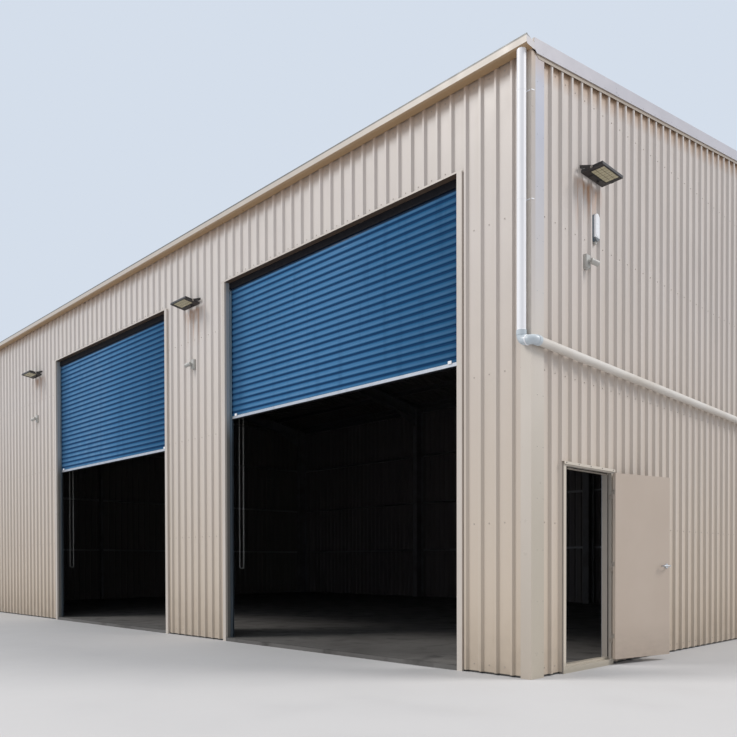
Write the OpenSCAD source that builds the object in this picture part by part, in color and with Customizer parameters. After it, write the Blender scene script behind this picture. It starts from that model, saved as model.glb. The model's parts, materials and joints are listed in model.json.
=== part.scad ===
// Steel-framed workshop shed with ribbed sheet cladding, a low gable roof, two roller
// shutters in the long front wall and a personnel door in the right gable wall.
// X runs along the front wall, which faces -Y. The right gable wall faces +X.
// The origin is on the ground at the middle of the footprint, and +Z is up.
// Wall sizes are measured in each wall's own frame: s along the wall from its corner,
// then outwards from the flat pans of the sheet, then up.

/* [Building] */
// Length over the wall pans, along the shutter wall
building_l = 18000; // [16000:100:24000]
// Width over the wall pans, along the gable wall
building_w = 12000; // [10000:100:14000]
// Height of the roof sheet's underside over the front wall
eave_h = 6100; // [5900:10:6600]
// Slope of the roof, in degrees
roof_pitch = 9.55; // [6:0.05:14]
// Number of bays between portal frames
bays = 3; // [3:1:4]
// Height of the floor slab's top above the ground
slab_h = 50; // [30:5:120]

/* [Sheet cladding] */
// Distance between the ribs of the sheet
rib_pitch = 190.5; // [150:0.5:250]
// Height of a rib
rib_h = 29; // [20:1:40]
// Width of a rib's flat crest
rib_crest_w = 25; // [15:1:35]
// Width of a rib at the pan
rib_base_w = 65; // [50:1:80]
// Thickness of the sheet
sheet_t = 3; // [2:0.5:4]
// First rib of the front wall, from the right corner
front_rib_s = 204; // [180:1:215]
// First rib of the right gable wall, from the front corner
gable_rib_s = 341; // [300:1:360]
// Gap between the ground and the lower edge of the wall sheets
sheet_gap = 20; // [5:1:30]

/* [Shutter openings] */
// Width of the pier between the right corner and the right shutter
corner_pier_w = 880; // [850:10:980]
// Clear width of each shutter opening
shutter_w = 4285; // [3800:5:4400]
// Width of the pier between the two shutters
middle_pier_w = 1700; // [1500:10:2000]
// Height of the shutter openings' head
head_h = 5175; // [4800:5:5300]
// Height of the right shutter's lower edge, as it hangs partly raised
right_curtain_z = 3205; // [2600:5:4200]
// Height of the left shutter's lower edge
left_curtain_z = 2950; // [2600:10:4200]
// Distance between the curtain's corrugations
slat_pitch = 85; // [70:1:100]
// Depth of a corrugation
slat_depth = 12; // [8:1:16]
// Height of a corrugation's groove
slat_groove = 24; // [18:1:32]
// Thickness of the curtain steel
curtain_t = 2; // [1.5:0.5:3]
// Radius of the rolled-up curtain
roll_r = 190; // [150:5:220]
// Radius of the shutter's axle
axle_r = 25; // [15:1:40]
// Rise of the axle above the opening's head
roll_rise = 40; // [20:5:120]
// Height of the aluminium bottom bar
bottom_bar_h = 42; // [35:1:70]
// Depth of the bottom bar's face, front to back
bottom_bar_d = 16; // [12:1:20]
// Width of the bottom bar's foot
bottom_bar_foot = 44; // [30:1:60]
// Width of a guide channel, across the opening
guide_w = 55; // [45:1:80]
// Distance of the guides' outer face inwards from the wall pans
reveal_in = 51; // [30:1:70]
// Distance of the guides' upper end below the opening's head
guide_drop = 120; // [80:5:160]
// Depth of the lintel channel over a shutter opening
lintel_d = 70; // [50:5:80]
// Height of the hand chain's lowest point
chain_z = 1050; // [800:10:1500]
// Radius of the chain's links
chain_r = 5; // [4:1:8]
// Distance between the chain's two falls
chain_gap = 70; // [50:1:90]

/* [Steel frame] */
// Depth of a portal column or rafter
portal_d = 310; // [250:5:360]
// Flange width of a portal column or rafter
portal_flange_w = 165; // [140:5:200]
// Flange thickness
portal_flange_t = 12; // [8:1:16]
// Web thickness
portal_web_t = 8; // [6:1:12]
// Length of the haunch under a rafter's end, along the rafter
haunch_l = 900; // [600:10:1200]
// Depth of the haunch at the column
haunch_d = 260; // [150:10:320]
// Depth of the wall girts
girt_d = 100; // [90:5:150]
// Height of a wall girt's flange
girt_w = 50; // [40:5:80]
// Depth of the roof purlins
purlin_d = 150; // [120:5:200]
// Width of a purlin's flange
purlin_w = 65; // [50:5:80]
// Wall of the cold-rolled sections
section_t = 4; // [3:0.5:6]
// Number of purlins on each slope
purlins = 6; // [5:1:8]
// Height of the eave strut
eave_strut_h = 200; // [180:10:240]
// Width of a post beside an opening
post_w = 65; // [50:5:100]
// Depth of a gable wall post
end_post_d = 150; // [120:5:200]
// Distance of each gable wall post from the ridge line
end_post_y = 2000; // [1700:50:2400]
// Height between the rows of wall girts
girt_rise = 1500; // [1400:10:1600]

/* [Eaves and edges] */
// Thickness of the folded flashings
flash_t = 3; // [2:0.5:4]
// Front to back size of the eave gutter
gutter_w = 106; // [90:1:150]
// Height of the gutter's front
gutter_h = 92; // [80:1:130]
// Height of the gutter's floor below the eave
gutter_drop = 83; // [75:1:120]
// Height and depth of the step along the gutter's front
gutter_step = 14; // [8:1:25]
// Radius of the rolled bead along the gutter's front edge
bead_r = 7; // [4:1:10]
// Distance that the roof sheet reaches past the wall pans
roof_overhang = 75; // [60:1:90]
// Height of the barge cap's face
barge_h = 137; // [120:1:200]
// Width of the barge cap over the roof sheet
barge_top_w = 160; // [120:1:220]
// Height of the set-back strip under the barge cap's face
barge_drip = 36; // [20:1:50]
// Distance that the strip lies behind the face
barge_set = 9; // [5:1:20]
// Width of each wing of the ridge cap
ridge_wing = 200; // [150:5:260]
// Front leg of the corner flashing
corner_front_leg = 90; // [80:1:120]
// Gable leg of the corner flashing
corner_gable_leg = 188; // [170:1:230]
// Width of the flashing on the face beside an opening
trim_w = 65; // [40:1:80]
// Height of the head flashing's lip
head_lip_h = 20; // [15:1:50]
// Length of the head flashing's ears past the opening
ear_l = 80; // [10:1:100]

/* [Downpipe] */
// Outer radius of the pipe
pipe_r = 45; // [38:1:55]
// Wall of the pipe
pipe_wall = 4; // [3:0.5:6]
// Distance of the upright pipe from the right corner
downpipe_s = 46; // [44:1:90]
// Gap between the pipe and the flashing behind it
pipe_stand = 6; // [4:1:15]
// Height at which the pipe turns round the corner
pipe_turn_z = 3248; // [2900:1:3600]
// Fall of the pipe along the gable wall, per metre
pipe_fall = 20; // [5:1:30]
// Outer radius of the sockets
socket_r = 50; // [45:1:62]
// Length of a socket
socket_l = 46; // [35:1:60]
// Thickness of a bend beyond the pipe
bend_t = 2; // [1:0.5:4]
// Radius of a bend's middle line beyond the sockets
bend_out = 8; // [5:1:20]
// Width of a pipe bracket's strap
strap_w = 30; // [20:1:45]
// Thickness of the strap
strap_t = 4; // [2:0.5:6]
// Width of the bracket's foot on the wall
strap_foot_w = 80; // [60:5:110]
// Width of the stem between the strap and the foot
strap_stem_w = 24; // [15:1:40]
// Distance of the upper bracket below the gutter's floor
strap_drop = 430; // [250:2:600]
// Distance between brackets
strap_step = 1000; // [900:10:1400]

/* [Personnel door] */
// Near edge of the door frame, from the front corner
door_s = 526; // [450:1:580]
// Width of the door leaf
leaf_w = 920; // [820:5:1000]
// Height of the door leaf
leaf_h = 2040; // [1980:5:2200]
// Thickness of the door leaf
leaf_t = 38; // [35:1:45]
// Height of the leaf's lower edge
leaf_z = 65; // [58:1:75]
// Angle to which the leaf stands open
open_angle = 167; // [150:1:168]
// Width of the frame's face
frame_w = 50; // [45:1:80]
// Height of the frame's head
frame_head_h = 38; // [35:1:60]
// Distance of the frame's face outwards from the wall pans
frame_face = 45; // [40:1:60]
// Depth of the frame
frame_d = 107; // [95:1:125]
// Width of the stop inside the frame
stop_w = 12; // [8:1:18]
// Gap round the closed leaf
leaf_gap = 5; // [5:0.5:7]
// Gap at the leaf's free edge
latch_gap = 8; // [7.5:0.5:10]
// Top of the raised sill behind the leaf
sill_h = 82; // [78:1:100]
// Radius of a hinge knuckle
knuckle_r = 7; // [6:0.5:9]
// Height of a hinge
hinge_h = 100; // [80:1:120]
// Distance of the outer hinges from the leaf's ends
hinge_inset = 180; // [120:5:250]
// Thickness of a hinge plate
hinge_plate_t = 2; // [1.5:0.25:2.25]
// Running gap between a hinge's two halves
hinge_run = 0.4; // [0.3:0.1:0.6]
// Height of the lever above the ground
lever_z = 1085; // [950:5:1150]
// Distance of the lever's spindle from the leaf's free edge
backset = 60; // [50:1:75]
// Length of the lever's grip
grip_l = 115; // [90:1:130]
// Radius of the lever's grip and neck
grip_r = 9; // [7:0.5:11]
// Distance of the grip's middle from the leaf's face
grip_out = 48; // [42:1:55]
// Length of the grip's turned-back end
grip_return = 26; // [15:1:30]
// Radius of the lever's rose
rose_r = 27; // [22:1:32]
// Thickness of the rose
rose_t = 8; // [6:1:12]
// Clearance round the lever's neck
neck_clear = 0.5; // [0.3:0.1:1]
// Distance of the drip flashing's lip over the door from the wall pans
door_drip_out = 60; // [50:1:80]
// Height of that lip
door_drip_h = 28; // [15:1:35]
// Length of its ends past the frame
door_drip_end = 10; // [0:1:20]

/* [Lights and sensors] */
// Width of a floodlight head, along the wall
flood_w = 432; // [350:2:500]
// Depth of a floodlight head, out from the wall
flood_d = 245; // [200:5:280]
// Thickness of a floodlight head
flood_t = 28; // [24:1:60]
// Upward tilt of the gable floodlight
gable_flood_tilt = 2; // [0:1:15]
// Upward tilt of the front floodlights
front_flood_tilt = 8; // [0:1:15]
// Distance from the ribs to the head's inner edge
flood_out = 12; // [10:1:100]
// Width of the floodlight's lens
lens_w = 320; // [260:1:340]
// Depth of the lens
lens_d = 150; // [100:1:170]
// Width of the head's rim in front of the lens
lens_rim = 16; // [10:1:30]
// Distance of the gable floodlight below the eave
gable_flood_drop = 924; // [800:1:1150]
// Place of the gable floodlight along its wall
gable_flood_s = 1078; // [950:1:1200]
// Distance of the front floodlights below the eave
front_flood_drop = 1060; // [900:5:1250]
// Place of the floodlight beside the left shutter
left_flood_s = 12050; // [11700:10:12300]
// Width, depth and height of a sensor's back box
sensor_box = [86, 45, 140];
// Radius of the sensor's neck, and the distance that it stands out of the box
sensor_neck = [13, 30];
// Radius and length of the sensor's drum head
sensor_drum = [30, 95];
// Drop of each sensor below its floodlight
sensor_drop = 888; // [800:1:950]
// Place of the gable sensor; each sensor and the wall lamp sit on the nearest pan
gable_sensor_s = 1000; // [900:5:1100]
// Distance of the oblong wall lamp's middle below the gable floodlight
lamp_drop = 476; // [400:1:550]
// Place of the wall lamp along the gable wall
lamp_s = 1210; // [1150:5:1350]
// Height of the wall lamp
lamp_h = 290; // [240:5:320]
// Width of the wall lamp
lamp_w = 92; // [70:1:110]

/* [Hidden] */
$fn = 48;
eps = 1;
cream = [0.80, 0.76, 0.69];
steel_grey = [0.55, 0.57, 0.58];
pvc_white = [0.90, 0.90, 0.88];
shutter_blue = [0.10, 0.29, 0.47];

// Roof geometry
slope_l = building_w / 2 / cos(roof_pitch);
crest_v = rib_h + sheet_t;
// Frame geometry: the girts lie between the sheets and the portal frames
girt_in = sheet_t + girt_d;
column_in = girt_in + portal_d;
girt_rows = [for (i = [1:floor((eave_h - eave_strut_h - girt_w) / girt_rise)]) i * girt_rise];
strut_z = eave_h - eave_strut_h;
// Shutter openings, as [nearer edge, further edge] along the front wall
right_open = [corner_pier_w, corner_pier_w + shutter_w];
left_open = [right_open[1] + middle_pier_w, right_open[1] + middle_pier_w + shutter_w];
openings = [right_open, left_open];
// Portal frames: one inside each gable wall, one behind the pier beyond each opening, and
// the rest evenly between the last of these and the far gable
near_frame_s = girt_in + portal_flange_w / 2;
far_frame_s = building_l - near_frame_s;
pier_frame_s = [for (o = openings) o[1] + middle_pier_w / 2];
frame_x = [for (s = concat([near_frame_s], pier_frame_s, [for (i = [1:1:bays - 3])
    pier_frame_s[1] + (far_frame_s - pier_frame_s[1]) * i / (bays - 2)], [far_frame_s]))
    building_l / 2 - s];
curtain_zs = [right_curtain_z, left_curtain_z];
// Curtain and guides, measured inwards from the pan face
guide_t = 3;
guide_clear = 3;
guide_top = head_h - guide_drop;
curtain_in = reveal_in + guide_t + guide_clear;
curtain_back = curtain_in + slat_depth + curtain_t;
guide_d = 2 * (guide_t + guide_clear) + slat_depth + curtain_t;
curtain_edge = flash_t + guide_t + guide_clear;
roll_in = girt_in + 5 + roll_r;
roll_z = head_h + roll_rise;
bracket_t = 10;
bracket_gap = 45;
// Above its guides the curtain leans back until it meets the roll
roll_dist = norm([roll_in - curtain_back, roll_z - guide_top]);
roll_touch = roll_r + 0.3;
curtain_lean = atan2(roll_in - curtain_back, roll_z - guide_top) - asin(roll_touch / roll_dist);
lean_l = sqrt(roll_dist * roll_dist - roll_touch * roll_touch);
// Outer face of the flashings
face_out = rib_h + flash_t;
// Gutter, measured outwards from the pan face
gutter_z = eave_h - gutter_drop;
gutter_end = face_out + barge_set + 2 * flash_t;
gutter_back_h = gutter_drop - 16;
// Inner face of the barge caps' face, and the inner edge of their top leg
barge_x = building_l / 2 + face_out + barge_set + flash_t;
barge_in = barge_x - barge_top_w;
// The lower end of each barge cap is cut off aslant: drop of the cut's start below the eave,
// then its run and fall
barge_cut = [71, 120, 72];
// Downpipe
pipe_out = face_out + pipe_stand + pipe_r;
elbow_r = socket_r + bend_out;
// Sloped pipe along the gable wall, from the front sockets to the rear ones
pipe_angle = atan(pipe_fall / 1000);
end_gap = pipe_r * sin(pipe_angle) + 0.05;
gable_run_y0 = -building_w / 2 - pipe_out + elbow_r + socket_l + end_gap;
gable_run_y1 = building_w / 2 - downpipe_s - elbow_r - socket_l - end_gap;
gable_end_z = pipe_turn_z - (gable_run_y1 - gable_run_y0) * pipe_fall / 1000;
// Door frame
door_open_w = leaf_gap + leaf_w + latch_gap;
frame_outer_w = door_open_w + 2 * frame_w;
frame_top = leaf_z + leaf_h + leaf_gap + frame_head_h;
hinge_s = door_s + frame_w + latch_gap + leaf_w + leaf_gap / 2;
hinge_out = frame_face + knuckle_r + 1;
hinge_zs = [leaf_z + hinge_inset, leaf_z + leaf_h / 2 - hinge_h / 2,
    leaf_z + leaf_h - hinge_inset - hinge_h];
// Lights
gable_flood_z = eave_h - gable_flood_drop;
front_flood_z = eave_h - front_flood_drop;
lamp_z = gable_flood_z - lamp_drop;
middle_flood_s = right_open[1] + middle_pier_w / 2;
lens_t = 6;
flood_mid = rib_h + flood_out + flood_d / 2;

// Middle of the pan nearest to a place along a wall whose first rib is given
function pan_mid(s, first) = first + rib_pitch * (round((s - first) / rib_pitch - 0.5) + 0.5);
// Distance from a wall's far corner to the nearest middle of a pan, no less than a given one
function far_leg(len, first, least) =
    len - first - rib_pitch * (floor((len - least - first) / rib_pitch - 0.5) + 0.5);

// Height of a plane that lies a given depth under the roof sheet's underside
function under_z(y, depth) =
    eave_h + (building_w / 2 - abs(y)) * tan(roof_pitch) - depth / cos(roof_pitch);

// Frames of the four walls, each with s along the wall, then outwards, then up
module on_front() { translate([building_l / 2, -building_w / 2, 0]) rotate([0, 0, 180]) children(); }
module on_right() { translate([building_l / 2, -building_w / 2, 0]) mirror([1, -1, 0]) children(); }
module on_left() { translate([-building_l / 2, -building_w / 2, 0]) rotate([0, 0, 90]) children(); }
module on_rear() { translate([-building_l / 2, building_w / 2, 0]) children(); }
// Frame of the front slope: X along the eave, Y up the slope, Z out of the roof
module on_front_slope() { translate([0, -building_w / 2, eave_h]) rotate([roof_pitch, 0, 0]) children(); }
module both_slopes() { children(); mirror([0, 1, 0]) children(); }
module both_ends() { children(); mirror([1, 0, 0]) children(); }

// Region of space under the roof, a given depth below the roof sheet
module under_roof(depth, x0, x1) {
    reach = building_w / 2 + 2 * rib_h;
    translate([x0, 0, 0]) rotate([90, 0, 90]) linear_extrude(x1 - x0)
        polygon([[-reach, -eps], [reach, -eps], [reach, under_z(reach, depth)],
            [0, under_z(0, depth)], [-reach, under_z(reach, depth)]]);
}

// Outline of a ribbed sheet between two places along a wall, seen from above
module ribbed_outline(s0, s1, first) {
    lean = atan2(rib_h, (rib_base_w - rib_crest_w) / 2);
    k = sheet_t * tan(lean / 2);
    from = ceil((s0 + rib_base_w / 2 + eps - first) / rib_pitch);
    to = floor((s1 - rib_base_w / 2 - eps - first) / rib_pitch);
    half = [-rib_base_w / 2, -rib_crest_w / 2, rib_crest_w / 2, rib_base_w / 2];
    up = [0, rib_h, rib_h, 0];
    turn = [1, 1, -1, -1];
    outer = [for (i = [from:1:to]) for (j = [0:3]) [first + i * rib_pitch + half[j], up[j]]];
    inner = [for (i = [to:-1:from]) for (j = [3:-1:0])
        [first + i * rib_pitch + half[j] + turn[j] * k, up[j] - sheet_t]];
    polygon(concat([[s0, 0]], outer, [[s1, 0], [s1, -sheet_t]], inner, [[s0, -sheet_t]]));
}
// Part of a wall's sheet between two places and two heights; the ribs run on across the parts
module ribbed_wall(s0, s1, z0, z1, first, end, len) {
    translate([0, 0, z0]) linear_extrude(z1 - z0) intersection() {
        ribbed_outline(end, len - end, first);
        translate([s0, -sheet_t - eps]) square([s1 - s0, rib_h + sheet_t + 2 * eps]);
    }
}
module long_wall(s0, s1, z0) { ribbed_wall(s0, s1, z0, wall_top, front_rib_s, 0, building_l); }
module end_wall(s0, s1, z0) {
    ribbed_wall(s0, s1, z0, 2 * eave_h, gable_rib_s, sheet_t, building_w);
}

// Channel along a wall with its open side up
module girt(s0, s1, z, w = girt_w) {
    translate([s0, -girt_in, z]) difference() {
        cube([s1 - s0, girt_d, w]);
        translate([-eps, section_t, section_t])
            cube([s1 - s0 + 2 * eps, girt_d - 2 * section_t, w]);
    }
}
// Upright channel with its web at s, its flanges pointing along s by a signed width
module post(s, w, z0, z1, d = girt_d) {
    translate([s, -girt_in, z0]) mirror([w < 0 ? 1 : 0, 0, 0]) difference() {
        cube([abs(w), d, z1 - z0]);
        translate([section_t, section_t, -eps]) cube([abs(w), d - 2 * section_t, z1 - z0 + 2 * eps]);
    }
}

module floor_slab() {
    color([0.62, 0.61, 0.58]) union() {
        difference() {
            translate([-building_l / 2 + sheet_t, -building_w / 2 + sheet_t, 0])
                cube([building_l - 2 * sheet_t, building_w - 2 * sheet_t, slab_h]);
            // The personnel door's frame stands in a notch
            on_right() translate([door_s, frame_face - frame_d, -eps])
                cube([frame_outer_w, frame_d, slab_h + 2 * eps]);
        }
        // The floor runs out to the face of the wall in each shutter opening
        on_front() for (o = openings)
            translate([o[0] + flash_t, -sheet_t - eps, 0])
                cube([o[1] - o[0] - 2 * flash_t, sheet_t + eps + rib_h, slab_h]);
    }
}

module columns() {
    color(steel_grey) both_slopes() for (x = frame_x)
        intersection() {
            translate([x, -building_w / 2 + girt_in, slab_h]) union() {
                for (y = [0, portal_d - portal_flange_t])
                    translate([-portal_flange_w / 2, y, 0])
                        cube([portal_flange_w, portal_flange_t, eave_h]);
                translate([-portal_web_t / 2, portal_flange_t - eps, 0])
                    cube([portal_web_t, portal_d - 2 * portal_flange_t + 2 * eps, eave_h]);
            }
            under_roof(purlin_d, x - portal_flange_w, x + portal_flange_w);
        }
}

// One half of each portal's rafter, with a haunch under its lower end
module half_rafters() {
    y0 = -building_w / 2 + column_in;
    for (x = frame_x) intersection() {
        on_front_slope() translate([x, 0, -purlin_d]) union() {
            for (v = [-portal_flange_t, -portal_d])
                translate([-portal_flange_w / 2, 0, v])
                    cube([portal_flange_w, slope_l + portal_d, portal_flange_t]);
            translate([-portal_web_t / 2, 0, -portal_d + eps])
                cube([portal_web_t, slope_l + portal_d, portal_d - 2 * eps]);
            // Tapered haunch plate
            translate([-portal_web_t / 2, 0, 0]) rotate([90, 0, 90]) linear_extrude(portal_web_t)
                polygon([[0, -portal_d - haunch_d - 60], [column_in, -portal_d - haunch_d],
                    [column_in + haunch_l, -portal_d + eps], [0, -portal_d + eps]]);
        }
        translate([x - portal_flange_w, y0, 0]) cube([2 * portal_flange_w, -y0, 2 * eave_h]);
    }
}
module front_rafters() { color(steel_grey) half_rafters(); }
module rear_rafters() { color(steel_grey) mirror([0, 1, 0]) half_rafters(); }

module end_wall_posts() {
    color(steel_grey) both_ends() for (y = [-end_post_y, end_post_y])
        intersection() {
            translate([building_l / 2 - girt_in - end_post_d, y - post_w / 2, slab_h]) difference() {
                cube([end_post_d, post_w, 2 * eave_h]);
                translate([section_t, section_t, -eps])
                    cube([end_post_d - 2 * section_t, post_w, 2 * eave_h + 2 * eps]);
            }
            under_roof(purlin_d + portal_d, building_l / 2 - column_in, building_l / 2);
        }
}

module roof_purlins() {
    first = 200;
    step = (slope_l - 2 * first - purlin_w) / (purlins - 1);
    color(steel_grey) both_slopes() on_front_slope() for (i = [0:purlins - 1])
        translate([-building_l / 2 + sheet_t, first + i * step, -purlin_d]) difference() {
            cube([building_l - 2 * sheet_t, purlin_w, purlin_d]);
            translate([-eps, section_t, section_t])
                cube([building_l, purlin_w, purlin_d - 2 * section_t]);
        }
}

module eave_struts() {
    color(steel_grey) {
        on_front() girt(sheet_t, building_l - sheet_t, strut_z, eave_strut_h);
        on_rear() girt(sheet_t, building_l - sheet_t, strut_z, eave_strut_h);
    }
}

module side_girts() {
    color(steel_grey) for (z = girt_rows) {
        on_front() girt(sheet_t, right_open[0] - post_w, z);
        on_front() girt(right_open[1] + post_w, left_open[0] - post_w, z);
        on_front() girt(left_open[1] + post_w, building_l - sheet_t, z);
        on_rear() girt(sheet_t, building_l - sheet_t, z);
    }
}

module end_girts() {
    color(steel_grey) for (z = concat(girt_rows, [strut_z])) {
        on_left() girt(girt_in, building_w - girt_in, z);
        if (z < frame_top) {
            on_right() girt(girt_in, door_s - post_w, z);
            on_right() girt(door_s + frame_outer_w + post_w, building_w - girt_in, z);
        } else on_right() girt(girt_in, building_w - girt_in, z);
    }
}

// Posts and lintel that carry a shutter
module shutter_frames() {
    color(steel_grey) on_front() for (o = openings) {
        post(o[0], -post_w, slab_h, strut_z);
        post(o[1], post_w, slab_h, strut_z);
        translate([o[0] - eps, -sheet_t - lintel_d, head_h]) difference() {
            cube([o[1] - o[0] + 2 * eps, lintel_d, girt_d]);
            translate([-eps, section_t, section_t])
                cube([o[1] - o[0] + 4 * eps, lintel_d - 2 * section_t, girt_d]);
        }
    }
}

// Posts beside the personnel door, up to the girt above it, and the rail over its frame
module door_posts() {
    above = [for (z = girt_rows) if (z > frame_top) z][0];
    color(steel_grey) on_right() {
        post(door_s, -post_w, slab_h, above);
        post(door_s + frame_outer_w, post_w, slab_h, above);
        translate([0, 0, frame_top])
            girt(door_s - eps, door_s + frame_outer_w + eps, 0);
    }
}

wall_top = eave_h - 8;
module corner_pier_cladding() { color(cream) on_front() long_wall(0, right_open[0], sheet_gap); }
module middle_pier_cladding() {
    color(cream) on_front() long_wall(right_open[1], left_open[0], sheet_gap);
}
module left_bay_cladding() {
    color(cream) on_front() long_wall(left_open[1], building_l, sheet_gap);
}
module header_cladding() {
    color(cream) on_front() for (o = openings) long_wall(o[0], o[1], head_h);
}
module rear_wall_cladding() { color(cream) on_rear() long_wall(0, building_l, sheet_gap); }

// Part of the right gable wall, with its upper edge along the roof slope
module right_sheet(s0, s1, z0) {
    intersection() {
        on_right() end_wall(s0, s1, z0);
        under_roof(0, building_l / 2 - 2 * sheet_t, building_l / 2 + 2 * rib_h);
    }
}
module right_corner_cladding() { color(cream) right_sheet(sheet_t, door_s, sheet_gap); }
module door_head_cladding() {
    color(cream) right_sheet(door_s, door_s + frame_outer_w, frame_top + flash_t);
}
module right_wall_cladding() {
    color(cream) right_sheet(door_s + frame_outer_w, building_w - sheet_t, sheet_gap);
}
module left_wall_cladding() {
    color(cream) intersection() {
        on_left() end_wall(sheet_t, building_w - sheet_t, sheet_gap);
        under_roof(0, -building_l / 2 - 2 * rib_h, -building_l / 2 + 2 * sheet_t);
    }
}

// Sheet on one slope, its ribs running from the ridge down to the gutter
module slope_sheet() {
    ridge_gap = 30;
    on_front_slope() translate([-building_l / 2, slope_l - ridge_gap, sheet_t])
        rotate([90, 0, 0]) linear_extrude(slope_l - ridge_gap + roof_overhang)
            ribbed_outline(0, building_l, front_rib_s);
}
module front_roof() { color([0.74, 0.74, 0.70]) slope_sheet(); }
module rear_roof() { color([0.74, 0.74, 0.70]) mirror([0, 1, 0]) slope_sheet(); }

// Capping over the ridge, its wings on the crests of the roof ribs
module ridge_cap() {
    top = under_z(0, -crest_v);
    y = ridge_wing * cos(roof_pitch);
    low = top - y * tan(roof_pitch);
    thick = flash_t / cos(roof_pitch);
    color([0.74, 0.74, 0.70]) translate([-barge_in, 0, 0]) rotate([90, 0, 90])
        linear_extrude(2 * barge_in)
            polygon([[-y, low], [0, top], [y, low], [y, low + thick], [0, top + thick],
                [-y, low + thick]]);
}

// Box gutter with a stepped front, a rolled bead and closed ends; the back lies on the ribs.
// The end plates reach back to the ends of the barge caps
module gutter() {
    len = building_l + 2 * gutter_end;
    for (s = [-gutter_end, building_l + gutter_end - flash_t])
        translate([s, 0.3, gutter_z]) cube([flash_t, rib_h, gutter_back_h]);
    difference() {
        translate([-gutter_end, rib_h, gutter_z]) rotate([90, 0, 90]) linear_extrude(len)
            gutter_outline();
        translate([-gutter_end + flash_t, rib_h, gutter_z]) rotate([90, 0, 90])
            linear_extrude(len - 2 * flash_t) gutter_inside();
        children();
    }
}
module gutter_outline() {
    step = gutter_step;
    union() {
        polygon([[0, 0], [gutter_w - step, 0], [gutter_w, step], [gutter_w, gutter_h],
            [gutter_w - step, gutter_h], [0, gutter_back_h]]);
        translate([gutter_w - bead_r, gutter_h]) circle(bead_r, $fn = 24);
    }
}
module gutter_inside() {
    step = gutter_step;
    polygon([[flash_t, flash_t], [gutter_w - step - flash_t / 2, flash_t],
        [gutter_w - flash_t, step + flash_t / 2], [gutter_w - flash_t, gutter_h - bead_r],
        [gutter_w - 2 * bead_r - flash_t, gutter_h - bead_r],
        [gutter_w - 2 * bead_r - flash_t, 2 * gutter_h], [flash_t, 2 * gutter_h]]);
}
module outlet(s) {
    translate([s, pipe_out, gutter_z - eps]) cylinder(r = pipe_r - pipe_wall, h = flash_t + 2 * eps);
}
module front_gutter() { color(cream) on_front() gutter() outlet(downpipe_s); }
module rear_gutter() { color(cream) on_rear() gutter() outlet(downpipe_s); }

// Capping along a gable edge: a top leg level with the roof ribs that turns down to the
// sheet at its inner edge, a face, and a strip set back under the face
module barge_cap() {
    strip_x = building_l / 2 + face_out;
    top = crest_v + flash_t;
    foot = top - barge_h;
    y0 = -building_w / 2;
    intersection() {
        on_front_slope() translate([0, slope_l + 2 * barge_h, 0]) rotate([90, 0, 0])
            linear_extrude(slope_l + 3 * barge_h)
                polygon([[barge_in, sheet_t], [barge_in + flash_t, sheet_t],
                    [barge_in + flash_t, crest_v], [barge_x, crest_v],
                    [barge_x, foot + flash_t], [strip_x, foot + flash_t],
                    [strip_x, foot - barge_drip], [strip_x + flash_t, foot - barge_drip],
                    [strip_x + flash_t, foot], [barge_x + flash_t, foot],
                    [barge_x + flash_t, top], [barge_in, top]]);
        rotate([90, 0, 90]) linear_extrude(building_l)
            polygon([[0, 0], [0, 2 * eave_h], [y0, 2 * eave_h], [y0, eave_h - barge_cut[0]],
                [y0 + barge_cut[1], eave_h - barge_cut[0] - barge_cut[2]], [y0 + barge_cut[1], 0]]);
    }
}
module right_barge_cap() { color([0.84, 0.83, 0.82]) union() both_slopes() barge_cap(); }
module left_barge_cap() {
    color([0.84, 0.83, 0.82]) mirror([1, 0, 0]) union() both_slopes() barge_cap();
}

// Boxed corner: each leg lies on the rib crests and turns back to the pan at its edge
module corner_outline(front_leg, gable_leg) {
    polygon([[-front_leg, 0], [-front_leg, -face_out], [face_out, -face_out], [face_out, gable_leg],
        [0, gable_leg], [0, gable_leg - flash_t], [rib_h, gable_leg - flash_t],
        [rib_h, -rib_h], [-front_leg + flash_t, -rib_h], [-front_leg + flash_t, 0]]);
}
module corner_flashings() {
    far_front_leg = far_leg(building_l, front_rib_s, corner_front_leg);
    far_gable_leg = far_leg(building_w, gable_rib_s, corner_front_leg);
    color(cream) for (mx = [0, 1]) for (my = [0, 1]) mirror([mx, 0, 0]) mirror([0, my, 0])
        translate([building_l / 2, -building_w / 2, 0]) linear_extrude(gutter_z - 0.3)
            corner_outline(mx == my ? corner_front_leg : far_front_leg,
                my == 0 ? corner_gable_leg : far_gable_leg);
}

// Folded trim round a shutter opening: two jambs and a head with short ears
module shutter_trims() {
    color(cream) on_front() for (o = openings) union() {
        jamb_trim(o[0], -1);
        jamb_trim(o[1], 1);
        translate([o[0] - ear_l, rib_h, head_h - flash_t])
            cube([o[1] - o[0] + 2 * ear_l, flash_t, head_lip_h]);
        translate([o[0], -reveal_in, head_h - flash_t])
            cube([o[1] - o[0], reveal_in + face_out, flash_t]);
    }
}
module jamb_trim(s, way) {
    translate([s, 0, 0]) mirror([way > 0 ? 0 : 1, 0, 0]) union() {
        translate([-flash_t, -reveal_in - guide_d, slab_h])
            cube([flash_t, reveal_in + guide_d + rib_h, head_h - slab_h]);
        // In front of the sheet's edge it reaches down to the ground
        linear_extrude(head_h)
            polygon([[-flash_t, 0], [0, 0], [0, rib_h], [trim_w - flash_t, rib_h],
                [trim_w - flash_t, 0], [trim_w, 0], [trim_w, face_out], [-flash_t, face_out]]);
    }
}

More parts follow.
